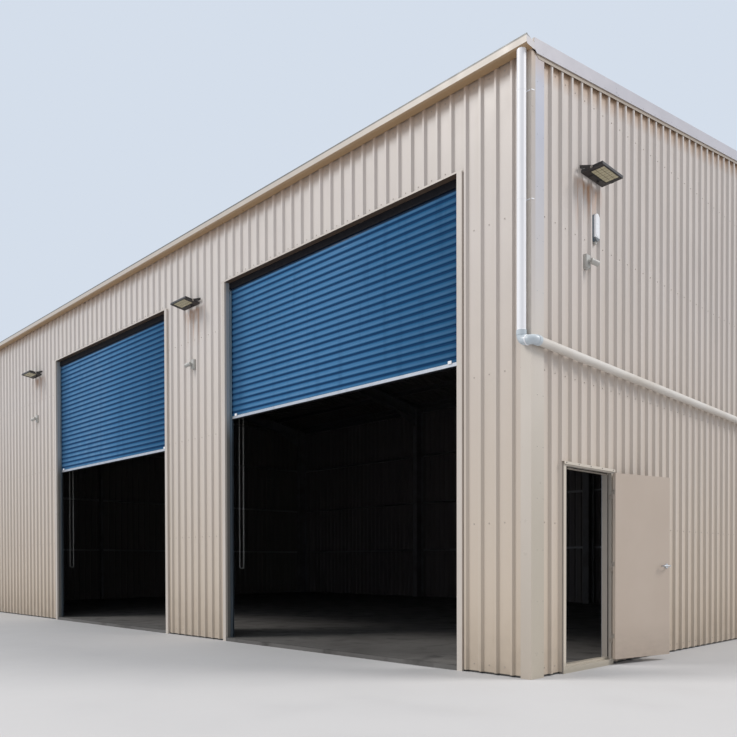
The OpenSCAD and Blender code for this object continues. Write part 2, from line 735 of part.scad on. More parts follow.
// Section of the corrugated curtain from its lower edge up, as [inwards, up]
function curtain_side(z0, z1, inset) = [for (z = [z0:slat_pitch:z1 - slat_pitch])
    for (p = [[0, 0], [0, slat_pitch - slat_groove], [slat_depth, slat_pitch - slat_groove * 0.65],
        [slat_depth, slat_pitch - slat_groove * 0.35]]) [p[0] + inset, z + p[1]]];
module shutter_curtains() {
    top = [slat_depth + lean_l * sin(curtain_lean), guide_top + lean_l * cos(curtain_lean)];
    color(shutter_blue) on_front() for (i = [0, 1]) {
        o = openings[i];
        front = concat(curtain_side(curtain_zs[i] + bottom_bar_h, guide_top, 0),
            [[slat_depth, guide_top], top]);
        back = [for (j = [len(front) - 1:-1:0]) [front[j][0] + curtain_t, front[j][1]]];
        translate([o[0] + curtain_edge, -curtain_in, 0]) rotate([90, 0, 90])
            linear_extrude(o[1] - o[0] - 2 * curtain_edge)
                polygon([for (p = concat(front, back)) [-p[0], p[1]]]);
    }
}

// Rolled-up part of each curtain on its axle
module shutter_rolls() {
    color(shutter_blue) on_front() for (o = openings)
        translate([o[0] - bracket_gap, -roll_in, roll_z]) rotate([0, 90, 0]) union() {
            translate([0, 0, 15]) cylinder(r = roll_r, h = o[1] - o[0] + 2 * bracket_gap - 30, $fn = 72);
            cylinder(r = axle_r, h = o[1] - o[0] + 2 * bracket_gap);
        }
}

// Channels in which the curtain's edges run, inside the folded jambs
module shutter_guides() {
    color([0.42, 0.48, 0.54]) on_front() for (i = [0, 1]) for (way = [-1, 1])
        translate([way < 0 ? openings[i][0] : openings[i][1], -reveal_in, slab_h])
            mirror([way < 0 ? 1 : 0, 0, 0])
                linear_extrude(guide_top - slab_h) difference() {
                    translate([-flash_t - guide_w, -guide_d]) square([guide_w, guide_d]);
                    translate([-flash_t - guide_w - eps, guide_t - guide_d])
                        square([guide_w - guide_t + eps, guide_d - 2 * guide_t]);
                }
}

// Plates that carry the axle, fixed behind the posts
module shutter_brackets() {
    drop = 150;
    color(steel_grey) on_front() for (o = openings) for (s = [o[0] - bracket_gap - bracket_t,
        o[1] + bracket_gap])
        translate([s, 0, 0]) rotate([90, 0, 90]) linear_extrude(bracket_t)
            polygon([[-girt_in, roll_z - drop - roll_r], [-girt_in, roll_z + drop],
                [-roll_in - drop / 2, roll_z + drop / 2], [-roll_in - drop / 2, roll_z - drop / 2]]);
}

module bottom_bars() {
    color([0.80, 0.81, 0.82]) on_front() for (i = [0, 1]) {
        o = openings[i];
        mid = curtain_in + (slat_depth + curtain_t) / 2;
        edge = flash_t + guide_w + 4;
        translate([o[0] + edge, 0, curtain_zs[i]]) union() {
            translate([0, -mid - bottom_bar_d / 2, 0])
                cube([o[1] - o[0] - 2 * edge, bottom_bar_d, bottom_bar_h]);
            translate([0, -mid - bottom_bar_foot / 2, 0])
                cube([o[1] - o[0] - 2 * edge, bottom_bar_foot, flash_t]);
        }
    }
}

// Endless hand chain hanging from the far end of each axle
module hand_chains() {
    color([0.66, 0.66, 0.64]) on_front() for (o = openings)
        translate([o[1] + bracket_gap + bracket_t, -roll_in, 0]) union() {
            wheel_r = chain_gap / 2;
            translate([0, 0, roll_z]) rotate([0, 90, 0]) cylinder(r = wheel_r, h = 4 * chain_r);
            for (y = [-wheel_r, wheel_r])
                translate([2 * chain_r, y, chain_z + wheel_r])
                    cylinder(r = chain_r, h = roll_z - chain_z - wheel_r, $fn = 16);
            translate([2 * chain_r, 0, chain_z + wheel_r]) rotate([90, 0, 90]) rotate([0, 0, 180])
                rotate_extrude(angle = 180, $fn = 48) translate([wheel_r, 0]) circle(chain_r, $fn = 16);
        }
}

module tube(h) {
    difference() {
        cylinder(r = pipe_r, h = h);
        translate([0, 0, -eps]) cylinder(r = pipe_r - pipe_wall, h = h + 2 * eps);
    }
}
// Upright pipes: one from the front gutter to the turn, one from the rear gutter to the ground
module downpipes() {
    color(pvc_white) {
        on_front() translate([downpipe_s, pipe_out, pipe_turn_z + elbow_r + socket_l])
            tube(gutter_z - pipe_turn_z - elbow_r - socket_l);
        on_rear() translate([downpipe_s, pipe_out, 0]) tube(gutter_z);
    }
}

// Quarter bend in the XY plane, from +Y at the origin's side round to +X, with two sockets
module bend() {
    rotate_extrude(angle = 90, $fn = 48) translate([elbow_r, 0]) difference() {
        circle(r = pipe_r + bend_t);
        circle(r = pipe_r - pipe_wall);
    }
}
module socket() {
    difference() {
        cylinder(r = socket_r, h = socket_l);
        translate([0, 0, -eps]) cylinder(r = pipe_r - pipe_wall, h = socket_l + 2 * eps);
    }
}
module pipe_elbows() {
    x_front = building_l / 2 - downpipe_s;
    y_front = -building_w / 2 - pipe_out;
    x_gable = building_l / 2 + pipe_out;
    color([0.72, 0.73, 0.74]) union() {
        translate([x_front, y_front, pipe_turn_z + elbow_r]) socket();
        translate([x_front + elbow_r, y_front, pipe_turn_z + elbow_r])
            rotate([90, 0, 0]) rotate([0, 0, 180]) bend();
        translate([x_front + elbow_r, y_front, pipe_turn_z]) rotate([0, 90, 0])
            tube(x_gable - x_front - 2 * elbow_r);
        translate([x_gable - elbow_r, y_front + elbow_r, pipe_turn_z])
            rotate([0, 0, -90]) bend();
        translate([x_gable, y_front + elbow_r, pipe_turn_z]) rotate([-90, 0, 0]) socket();
    }
    color([0.72, 0.73, 0.74])
        translate([x_gable, building_w / 2 - downpipe_s - elbow_r, gable_end_z - elbow_r]) union() {
            translate([0, -socket_l, elbow_r]) rotate([-90, 0, 0]) socket();
            rotate([90, 0, 90]) bend();
            translate([0, elbow_r, -socket_l]) socket();
        }
}

// Pipe along the gable wall that falls to the rear corner, then down to the ground
module gable_pipe() {
    run = gable_run_y1 - gable_run_y0;
    color(cream) translate([building_l / 2 + pipe_out, 0, 0]) {
        translate([0, gable_run_y0, pipe_turn_z]) rotate([-90 - pipe_angle, 0, 0])
            tube(run / cos(pipe_angle));
        translate([0, building_w / 2 - downpipe_s, 0]) tube(gable_end_z - elbow_r - socket_l);
    }
}

// Saddle straps that hold the pipes off the wall
module strap() {
    difference() {
        union() {
            cylinder(r = pipe_r + strap_t, h = strap_w);
            translate([-strap_stem_w / 2, -pipe_r - pipe_stand, 0])
                cube([strap_stem_w, pipe_r, strap_w]);
            translate([-strap_foot_w / 2, -pipe_r - pipe_stand, 0])
                cube([strap_foot_w, strap_t - eps, strap_w]);
        }
        translate([0, 0, -eps]) cylinder(r = pipe_r + 0.3, h = strap_w + 2 * eps);
    }
}
module pipe_brackets() {
    color(pvc_white) {
        on_front() for (z = [gutter_z - strap_drop, gutter_z - strap_drop - strap_step])
            translate([downpipe_s, pipe_out, z]) strap();
    }
}

// Frame of the door: jambs and head with a rebate for the leaf, a raised sill, and a drip
// flashing over the head that starts under the sheet above
module door_frame() {
    back = frame_face - frame_d;
    rebate = frame_face - leaf_t - leaf_gap;
    drip_w = frame_outer_w + 2 * door_drip_end;
    color(cream) on_right() union() {
        difference() {
            translate([door_s, back, 0]) cube([frame_outer_w, frame_d, frame_top]);
            translate([door_s + frame_w, rebate, leaf_z - leaf_gap])
                cube([door_open_w, frame_d, leaf_h + 2 * leaf_gap]);
            translate([door_s + frame_w + stop_w, back - eps, sill_h])
                cube([door_open_w - 2 * stop_w, frame_d + 2 * eps,
                    leaf_z + leaf_h + leaf_gap - stop_w - sill_h]);
        }
        translate([door_s, 0, frame_top]) cube([frame_outer_w, door_drip_out, flash_t]);
        translate([door_s - door_drip_end, rib_h + 0.3, frame_top])
            cube([drip_w, door_drip_out - rib_h - 0.3, flash_t]);
        translate([door_s - door_drip_end, door_drip_out - flash_t,
            frame_top + flash_t - door_drip_h]) cube([drip_w, flash_t, door_drip_h]);
    }
}

// Everything that swings is drawn closed and then turned about the hinge line
module swung() {
    translate([hinge_s, hinge_out, 0]) rotate([0, 0, -open_angle])
        translate([-hinge_s, -hinge_out, 0]) children();
}
leaf_s = door_s + frame_w + latch_gap;
spindle_s = leaf_s + backset;
module door_leaf() {
    color([0.78, 0.74, 0.67]) on_right() swung() difference() {
        translate([leaf_s, frame_face - leaf_t, leaf_z]) cube([leaf_w, leaf_t, leaf_h]);
        translate([spindle_s, frame_face + eps, lever_z]) rotate([90, 0, 0])
            cylinder(r = grip_r + neck_clear, h = leaf_t + 2 * eps);
    }
}
module hinge_barrel(z0, z1) {
    translate([hinge_s, hinge_out, z0]) cylinder(r = knuckle_r, h = z1 - z0);
}
// Lower half of each hinge on the jamb and upper half on the leaf's edge
module frame_hinges() {
    half = hinge_h / 2 - hinge_run / 2;
    color([0.16, 0.15, 0.15]) on_right() for (z = hinge_zs) union() {
        jamb = door_s + frame_w + door_open_w;
        hinge_barrel(z, z + half);
        translate([jamb - hinge_plate_t, hinge_out - knuckle_r - leaf_t * 0.7, z])
            cube([hinge_plate_t, knuckle_r + leaf_t * 0.7, half]);
    }
}
module leaf_hinges() {
    half = hinge_h / 2 - hinge_run / 2;
    color([0.16, 0.15, 0.15]) on_right() swung() for (z = hinge_zs) union() {
        hinge_barrel(z + hinge_h - half, z + hinge_h);
        translate([leaf_s + leaf_w, hinge_out - knuckle_r - leaf_t * 0.7, z + hinge_h - half])
            cube([hinge_plate_t, knuckle_r + leaf_t * 0.7, half]);
    }
}
module door_roses() {
    color([0.74, 0.75, 0.76]) on_right() swung() for (y = [frame_face, frame_face - leaf_t - rose_t])
        translate([spindle_s, y + rose_t, lever_z]) rotate([90, 0, 0]) difference() {
            cylinder(r = rose_r, h = rose_t);
            translate([0, 0, -eps]) cylinder(r = grip_r + neck_clear, h = rose_t + 2 * eps);
        }
}
module door_lever() {
    reach = leaf_t / 2 + grip_out;
    color([0.74, 0.75, 0.76]) on_right() swung()
        translate([spindle_s, frame_face - leaf_t / 2, lever_z]) union() {
            rotate([90, 0, 0]) cylinder(r = grip_r, h = 2 * (reach + grip_r), center = true);
            for (side = [-1, 1]) translate([0, side * reach, 0]) {
                rotate([0, 90, 0]) cylinder(r = grip_r - 1, h = grip_l);
                // The grip's end turns back towards the leaf
                translate([grip_l, 0, 0]) rotate([side * 90, 0, 0]) cylinder(r = grip_r, h = grip_return);
            }
        }
}

// Frame of a floodlight: the middle of its head at the origin, or with the head's tilt
module at_flood(place) {
    if (place == 0) on_right() translate([gable_flood_s, flood_mid, gable_flood_z]) children();
    if (place == 1) on_front() translate([middle_flood_s, flood_mid, front_flood_z]) children();
    if (place == 2) on_front() translate([left_flood_s, flood_mid, front_flood_z]) children();
}
module on_flood(place) {
    at_flood(place) rotate([place == 0 ? gable_flood_tilt : front_flood_tilt, 0, 0]) children();
}
module floodlight_heads() {
    fin_edge = 30;
    fin_h = 14;
    color([0.10, 0.09, 0.10]) for (i = [0:2]) on_flood(i) difference() {
        union() {
            translate([-flood_w / 2, -flood_d / 2, -flood_t / 2]) cube([flood_w, flood_d, flood_t]);
            // Cooling fins on the back
            for (x = [-flood_w / 2 + fin_edge:25:flood_w / 2 - fin_edge])
                translate([x - 3, -flood_d / 2 + fin_edge, flood_t / 2 - eps])
                    cube([6, flood_d - 2 * fin_edge, fin_h + eps]);
        }
        translate([-lens_w / 2, flood_d / 2 - lens_rim - lens_d, -flood_t / 2 - eps])
            cube([lens_w, lens_d, lens_t + eps]);
    }
}
module floodlight_lenses() {
    color([0.72, 0.70, 0.56]) for (i = [0:2]) on_flood(i)
        translate([-lens_w / 2, flood_d / 2 - lens_rim - lens_d, -flood_t / 2 + 2])
            cube([lens_w, lens_d, lens_t - 2]);
}
// Stirrup: a strap on the ribs above the head, and two arms down to the middle of its sides
module floodlight_brackets() {
    plate = 5;
    rise = 36;
    strap = 30;
    boss = 14;
    reach = flood_mid - rib_h;
    color([0.12, 0.13, 0.15]) for (i = [0:2]) at_flood(i) union() {
        translate([-flood_w / 2 - plate, -reach, rise]) cube([flood_w + 2 * plate, plate, strap]);
        for (x = [-flood_w / 2 - plate, flood_w / 2])
            translate([x, 0, 0]) rotate([90, 0, 90]) linear_extrude(plate)
                polygon([[-reach, rise], [-reach, rise + strap], [boss, boss], [boss, -boss],
                    [-boss, -boss]]);
    }
}

// Sensor on a pan: a back box, and a drum head on a neck that looks along and down the wall
module sensor(s, z, first) {
    translate([pan_mid(s, first), 0, z]) union() {
        translate([-sensor_box[0] / 2, 0, -sensor_box[2] / 2]) cube(sensor_box);
        translate([0, sensor_box[1] - eps, 0]) rotate([-90, 0, 0])
            cylinder(r = sensor_neck[0], h = sensor_neck[1]);
        translate([0, sensor_box[1] + sensor_neck[1], 0]) rotate([0, 105, 25])
            cylinder(r = sensor_drum[0], h = sensor_drum[1]);
    }
}
module wall_sensors() {
    color([0.78, 0.79, 0.77]) {
        on_right() sensor(gable_sensor_s, gable_flood_z - sensor_drop, gable_rib_s);
        on_front() sensor(middle_flood_s, front_flood_z - sensor_drop, front_rib_s);
        on_front() sensor(left_flood_s, front_flood_z - sensor_drop, front_rib_s);
    }
}
module wall_lamp() {
    depth = 45;
    color([0.93, 0.93, 0.92]) on_right()
        translate([pan_mid(lamp_s, gable_rib_s), 0, lamp_z]) rotate([-90, 0, 0]) union() {
            for (y = [-1, 1]) translate([0, y * (lamp_h - lamp_w) / 2, 0])
                cylinder(r = lamp_w / 2, h = depth);
            translate([-lamp_w / 2, -(lamp_h - lamp_w) / 2, 0])
                cube([lamp_w, lamp_h - lamp_w, depth]);
        }
}

floor_slab();
columns();
front_rafters();
rear_rafters();
end_wall_posts();
roof_purlins();
eave_struts();
side_girts();
end_girts();
shutter_frames();
door_posts();
corner_pier_cladding();
middle_pier_cladding();
left_bay_cladding();
header_cladding();
right_corner_cladding();
door_head_cladding();
right_wall_cladding();
left_wall_cladding();
rear_wall_cladding();
front_roof();
rear_roof();
ridge_cap();
front_gutter();
rear_gutter();
right_barge_cap();
left_barge_cap();
corner_flashings();
shutter_trims();
shutter_curtains();
shutter_rolls();
shutter_guides();
shutter_brackets();
bottom_bars();
hand_chains();
downpipes();
pipe_elbows();
gable_pipe();
pipe_brackets();
door_frame();
door_leaf();
frame_hinges();
leaf_hinges();
door_roses();
door_lever();
floodlight_heads();
floodlight_brackets();
floodlight_lenses();
wall_sensors();
wall_lamp();
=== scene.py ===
# %% [markdown]
# # A workshop shed in ribbed sheet
# A portal-frame shed is a steel skeleton inside a skin of thin ribbed sheet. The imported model
# brings every sheet, frame, shutter and fitting at its real size, as solids. This lesson
# dresses them: first the camera and the light, then the paints and metals, then the small
# things that give such a building its scale, such as screws, chain links, seals and lenses.

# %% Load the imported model
import json
import math

import bmesh
import bpy
from mathutils import Matrix, Vector


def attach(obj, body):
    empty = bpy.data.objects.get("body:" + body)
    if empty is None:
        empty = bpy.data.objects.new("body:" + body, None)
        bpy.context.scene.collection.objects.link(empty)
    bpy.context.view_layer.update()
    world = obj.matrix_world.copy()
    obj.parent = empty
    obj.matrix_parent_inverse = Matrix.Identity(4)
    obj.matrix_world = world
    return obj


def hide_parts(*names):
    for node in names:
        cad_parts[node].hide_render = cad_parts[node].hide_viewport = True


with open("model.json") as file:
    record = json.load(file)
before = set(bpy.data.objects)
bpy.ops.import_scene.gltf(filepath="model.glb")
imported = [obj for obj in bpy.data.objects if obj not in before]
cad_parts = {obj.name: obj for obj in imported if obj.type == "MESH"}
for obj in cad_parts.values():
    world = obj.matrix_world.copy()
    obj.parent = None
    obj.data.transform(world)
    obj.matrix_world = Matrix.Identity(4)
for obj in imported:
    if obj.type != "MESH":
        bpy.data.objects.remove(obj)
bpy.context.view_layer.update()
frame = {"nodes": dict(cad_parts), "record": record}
nodes = frame["nodes"]

# %% [markdown]
# Everything on a wall is easiest to place in that wall's own measures: how far along it from
# its first corner, how far out from the pans of its sheet, and how high. World coordinates
# would do, but each wall would then need its own signs. So one table holds the corner, the
# way along and the way out of each wall, and two helpers turn such measures into a point, or
# into a whole frame to stand a small part in.

# %% Frames of the four walls
HALF_LENGTH = 9.0
HALF_WIDTH = 6.0
UP = Vector((0, 0, 1))
WALLS = {
    "front": (Vector((HALF_LENGTH, -HALF_WIDTH, 0)), Vector((-1, 0, 0)), Vector((0, -1, 0))),
    "right": (Vector((HALF_LENGTH, -HALF_WIDTH, 0)), Vector((0, 1, 0)), Vector((1, 0, 0))),
    "left": (Vector((-HALF_LENGTH, -HALF_WIDTH, 0)), Vector((0, 1, 0)), Vector((-1, 0, 0))),
    "rear": (Vector((-HALF_LENGTH, HALF_WIDTH, 0)), Vector((1, 0, 0)), Vector((0, 1, 0))),
}


def spot(wall, s, out, z):
    corner, along, outward = WALLS[wall]
    return corner + along * s + outward * out + UP * z


def frame_at(place, x_axis, y_axis, z_axis):
    turned = Matrix((x_axis, y_axis, z_axis)).transposed().to_4x4()
    return Matrix.Translation(place) @ turned


def facing(wall, s, out, z):
    outward = WALLS[wall][2]
    return frame_at(spot(wall, s, out, z), outward.cross(UP), outward, UP)


print("corner of the picture:", spot("front", 0, 0, 0))

# %% [markdown]
# The camera stands a few metres off the corner at chest height. A camera that looks up makes
# the uprights lean together. Photographers of buildings keep it level and raise the lens
# instead, and Blender's shift does the same. The values come from fitting the ribs, the eaves
# and the openings, so the camera's place is given from the building's corner.

# %% Camera
EYE_FROM_CORNER = Vector((4.139, -6.2215, 1.132))
HEADING = math.radians(45.266)
LOOK_DOWN = math.radians(0.67)
ROLL = math.radians(-0.12)
FOCAL_PX = 758.58
PHOTO_PX = 737
SENSOR_MM = 36
SLIDE_PX = -5.71
RISE_PX = 202.89

camera = bpy.data.objects.new("camera", bpy.data.cameras.new("camera"))
bpy.context.scene.collection.objects.link(camera)
camera.location = spot("front", 0, 0, 0) + EYE_FROM_CORNER
heading = Matrix.Rotation(HEADING, 3, "Z")
pitch = Matrix.Rotation(math.radians(90) - LOOK_DOWN, 3, "X")
camera.rotation_euler = (heading @ pitch @ Matrix.Rotation(ROLL, 3, "Z")).to_euler()
camera.data.sensor_width = SENSOR_MM
camera.data.lens = FOCAL_PX / PHOTO_PX * SENSOR_MM
camera.data.shift_x = SLIDE_PX / PHOTO_PX
camera.data.shift_y = RISE_PX / PHOTO_PX
bpy.context.scene.camera = camera
print("camera at", [round(v, 3) for v in camera.location])

# %% [markdown]
# The shed stands on a plain pale floor. A small object would get a curved backdrop, but a
# building is too large for one, so a single plane runs out until it meets the sky.

# %% Studio floor
FLOOR_SIZE = 120
FLOOR_COLOUR = (0.50, 0.50, 0.51, 1)

floor_mesh = bpy.data.meshes.new("floor")
bm = bmesh.new()
bmesh.ops.create_grid(bm, x_segments=1, y_segments=1, size=FLOOR_SIZE)
bm.to_mesh(floor_mesh)
bm.free()
floor = bpy.data.objects.new("floor", floor_mesh)
bpy.context.scene.collection.objects.link(floor)
bpy.context.scene.view_settings.view_transform = "Standard"
print("floor:", 2 * FLOOR_SIZE, "m square")

# %% [markdown]
# The sky fills the shade evenly, and it is also what the camera and the gloss see. One colour
# for both would make either the light too strong or the sky too dark. The Light Path node
# tells the rays apart, so what is seen of the sky is set apart from what lights the object.

# %% Sky
SKY_LIGHT = (0.93, 0.96, 1.0, 1)
SKY_STRENGTH = 0.62
SKY_SEEN = (0.66, 0.73, 0.83, 1)

world = bpy.data.worlds.new("studio sky")
bpy.context.scene.world = world
world.use_nodes = True
sky = world.node_tree
sky.nodes.clear()
sky_out = sky.nodes.new("ShaderNodeOutputWorld")
sky_mix = sky.nodes.new("ShaderNodeMixShader")
rays = sky.nodes.new("ShaderNodeLightPath")
seen = sky.nodes.new("ShaderNodeMath")
seen.operation = "MAXIMUM"
sky.links.new(rays.outputs["Is Camera Ray"], seen.inputs[0])
sky.links.new(rays.outputs["Is Glossy Ray"], seen.inputs[1])
for socket, colour, strength in ((1, SKY_LIGHT, SKY_STRENGTH), (2, SKY_SEEN, 1.0)):
    glow = sky.nodes.new("ShaderNodeBackground")
    glow.inputs["Color"].default_value = colour
    glow.inputs["Strength"].default_value = strength
    sky.links.new(glow.outputs[0], sky_mix.inputs[socket])
sky.links.new(seen.outputs[0], sky_mix.inputs["Fac"])
sky.links.new(sky_mix.outputs[0], sky_out.inputs["Surface"])
print("sky nodes:", len(sky.nodes))

# %% [markdown]
# Ribbed sheet lives on the light that catches its flanks. Area lamps near by would fade along
# so long a wall. Two sun lamps are even from end to end, and a wide angle keeps their shadows
# soft. Each lights one wall from the side away from the camera, so on both walls the flank
# that faces the camera is in shade and draws a dark line down every rib.

# %% Lamps
LAMP_SPREAD = math.radians(24)
LAMP_STRENGTH = 1.9
LAMP_DISTANCE = 20


def far_lamp(name, towards, colour):
    light = bpy.data.lights.new(name, "SUN")
    light.energy = LAMP_STRENGTH
    light.angle = LAMP_SPREAD
    light.color = colour
    lamp_object = bpy.data.objects.new(name, light)
    lamp_object.rotation_euler = Vector(towards).to_track_quat("Z", "Y").to_euler()
    lamp_object.location = Vector(towards) * LAMP_DISTANCE
    bpy.context.scene.collection.objects.link(lamp_object)
    return lamp_object


far_lamp("lamp on the shutter wall", (-0.50, -0.62, 0.75), (1.0, 0.965, 0.92))
far_lamp("lamp on the gable", (0.62, 0.50, 0.75), (1.0, 0.96, 0.92))

# %% [markdown]
# Real paint is never one flat colour. Images could carry its wear, but a wall of 18 m would
# need huge ones. Masks from noise and from height have no edge and cost nothing. They all
# read the object's own coordinates, so the same cloud passes on from one sheet to the next.
# Trees wired line by line soon hide what they draw, so the first two helpers start a paint
# and add a node with all its wires in one call.

# %% Start a paint and wire its nodes
def start_paint(name, colour, rough, metallic=0.0):
    paint = bpy.data.materials.new(name)
    paint.use_nodes = True
    shader = paint.node_tree.nodes["Principled BSDF"]
    shader.inputs["Base Color"].default_value = (*colour, 1)
    shader.inputs["Roughness"].default_value = rough
    shader.inputs["Metallic"].default_value = metallic
    return paint


def add_node(paint, kind, wires, **settings):
    tree = paint.node_tree
    node = tree.nodes.new("ShaderNode" + kind)
    for key, value in settings.items():
        setattr(node, key, value)
    for socket, value in wires.items():
        if isinstance(value, bpy.types.NodeSocket):
            tree.links.new(value, node.inputs[socket])
        else:
            node.inputs[socket].default_value = value
    return node


print("node tools ready")

# %% [markdown]
# A mask says from 0 to 1 where something lies. Few kinds are enough for a building: a place
# along an axis, a grain of noise, a band between two values, the way a face looks, and
# products of these. They could be typed out wherever they are used, but as helpers they read
# like words, and a paint then reads like a description of itself.

# %% Masks
def own_place(paint):
    return add_node(paint, "TexCoord", {}).outputs["Object"]


def coordinate(paint, axis):
    return add_node(paint, "SeparateXYZ", {0: own_place(paint)}).outputs[axis]


def grain(paint, scale, detail=3.0, stretch=(1, 1, 1)):
    stretched = add_node(paint, "Mapping", {"Vector": own_place(paint), "Scale": stretch})
    wires = {"Vector": stretched.outputs[0], "Scale": scale, "Detail": detail}
    return add_node(paint, "TexNoise", wires).outputs["Fac"]


def band(paint, value, low, high, bottom=0.0, top=1.0):
    """Turns a value from low to high into a mask from bottom to top"""
    wires = {0: value, 1: low, 2: high, 3: bottom, 4: top}
    return add_node(paint, "MapRange", wires).outputs[0]


def maths(paint, operation, first, second=0.0):
    return add_node(paint, "Math", {0: first, 1: second}, operation=operation).outputs[0]


def times(paint, first, second):
    return maths(paint, "MULTIPLY", first, second)


def facing_way(paint, way, low=0.3, high=0.8):
    """A mask of the faces that look a given way"""
    side = add_node(paint, "TexCoord", {}).outputs["Normal"]
    dot = add_node(paint, "VectorMath", {0: side, 1: way}, operation="DOT_PRODUCT")
    return band(paint, dot.outputs["Value"], low, high)


print("mask tools ready")

# %% [markdown]
# A finish is built like a painter's glaze: each tint lies over the ones before it, as thick
# as its mask says. Gloss and relief get masks too. Values that are the same all over, such as
# the level of the highlights, are set on the shader itself.

# %% Tints, gloss and relief
CLOUD_EDGES = (0.40, 0.72)
CLOUD_STRENGTH = 0.6


def set_shine(paint, level):
    paint.node_tree.nodes["Principled BSDF"].inputs["Specular IOR Level"].default_value = level


def tint(paint, mask, colour):
    base = paint.node_tree.nodes["Principled BSDF"].inputs["Base Color"]
    below = base.links[0].from_socket if base.is_linked else tuple(base.default_value)
    wires = {0: mask, 6: below, 7: (*colour, 1)}
    mixed = add_node(paint, "Mix", wires, data_type="RGBA")
    paint.node_tree.links.new(mixed.outputs[2], base)


def gloss(paint, mask, smooth, dull):
    rough = band(paint, mask, 0.3, 0.7, smooth, dull)
    shader = paint.node_tree.nodes["Principled BSDF"]
    paint.node_tree.links.new(rough, shader.inputs["Roughness"])


def relief(paint, height, strength, distance):
    wires = {"Height": height, "Strength": strength, "Distance": distance}
    bumped = add_node(paint, "Bump", wires)
    shader = paint.node_tree.nodes["Principled BSDF"]
    paint.node_tree.links.new(bumped.outputs[0], shader.inputs["Normal"])


def plain_paint(name, colour, rough, cloud, cloud_scale=2.0, metallic=0.0, stretch=(1, 1, 1)):
    """One colour with faint clouds of a second and a gloss that varies a little"""
    paint = start_paint(name, colour, rough, metallic)
    clouds = grain(paint, cloud_scale, 5.0, stretch)
    tint(paint, band(paint, clouds, *CLOUD_EDGES, 0.0, CLOUD_STRENGTH), cloud)
    gloss(paint, grain(paint, cloud_scale * 4, 4.0), rough * 0.8, min(1.0, rough * 1.25))
    return paint


print("finish tools ready")

# %% [markdown]
# Two marks are painted on a sheeted wall: a stain and a shade. Rust runs down from the steel
# bracket of a lamp: a soft patch close under it, then narrow streaks. The pans under the raked
# edge of a gable lie in shade, and that shade is painted on. Both could be painted by hand in
# a mask image. Here a few bands multiplied together put them in the right place on any wall.

# %% Masks of rust and painted shade
RUST = (0.400, 0.180, 0.060)
EAVE_Z = 6.1
ROOF_PITCH = math.radians(9.55)
PAN_OUT, CREST_OUT = 0.016, 0.024


def streaks_below(paint, axis, centre, top):
    aside = maths(paint, "ABSOLUTE", maths(paint, "SUBTRACT", coordinate(paint, axis), centre))
    height = coordinate(paint, "Z")
    below = band(paint, height, top, top - 0.05)
    stain = times(paint, band(paint, height, top - 0.24, top - 0.03),
                  band(paint, aside, 0.30, 0.08))
    blotches = band(paint, grain(paint, 1.0, 3.0, (9, 9, 5)), 0.38, 0.62, 0.15, 0.85)
    tint(paint, times(paint, times(paint, stain, blotches), below), RUST)
    fading = times(paint, band(paint, height, top - 0.60, top - 0.1),
                   band(paint, aside, 0.36, 0.16))
    runs = band(paint, grain(paint, 1.0, 3.0, (20, 20, 1.0)), 0.48, 0.62, 0.0, 0.70)
    tint(paint, times(paint, times(paint, fading, below), runs), RUST)


# Painted shade on the pans under the raked edge of a gable, darkest close under it
def shade_under_rake(paint):
    rise = math.tan(ROOF_PITCH)
    aside = times(paint, maths(paint, "ABSOLUTE", coordinate(paint, "Y")), rise)
    height = maths(paint, "ADD", coordinate(paint, "Z"), aside)
    top = EAVE_Z + HALF_WIDTH * rise
    near = band(paint, height, top - 0.34, top - 0.14, 0.0, 0.85)
    reach = maths(paint, "ABSOLUTE", coordinate(paint, "X"))
    pans = band(paint, reach, HALF_LENGTH + CREST_OUT, HALF_LENGTH + PAN_OUT)
    return times(paint, near, pans)


print("roof rises", round(HALF_WIDTH * math.tan(ROOF_PITCH), 3), "m above the eave")

# %% [markdown]
# Wall sheet is coil-coated steel: a satin enamel with a soft sheen. Flat pans wave a little
# between their fixings. Waves in the mesh would need millions of faces, so a very shallow,
# broad relief shows them in the reflections. A painted light makes the long wall paler away
# from its corner, the colour turns warmer and darker towards the bottom, a painted shade lies
# under the gutter and under a gable's raked edge, and rain splashes dirt on the lowest metre.
# The back of the sheet has only a thin dull wash coat, and on faces that look inwards the paint
# turns to a dark colour, a painted shade for the inside of the shed.

# %% Cream enamel
CREAM = (0.575, 0.525, 0.492)
CREAM_PALE = (0.630, 0.580, 0.550)
CREAM_WASHED = (0.470, 0.420, 0.370)
CREAM_PAINTED_LIGHT = (0.665, 0.620, 0.590)
CREAM_TOWARDS_FOOT = (0.545, 0.450, 0.345)
SHADE_UNDER_ROOF_EDGE = (0.400, 0.250, 0.140)
SPLASH = (0.270, 0.215, 0.160)
WASH_COAT_AND_SHADE = (0.130, 0.118, 0.115)


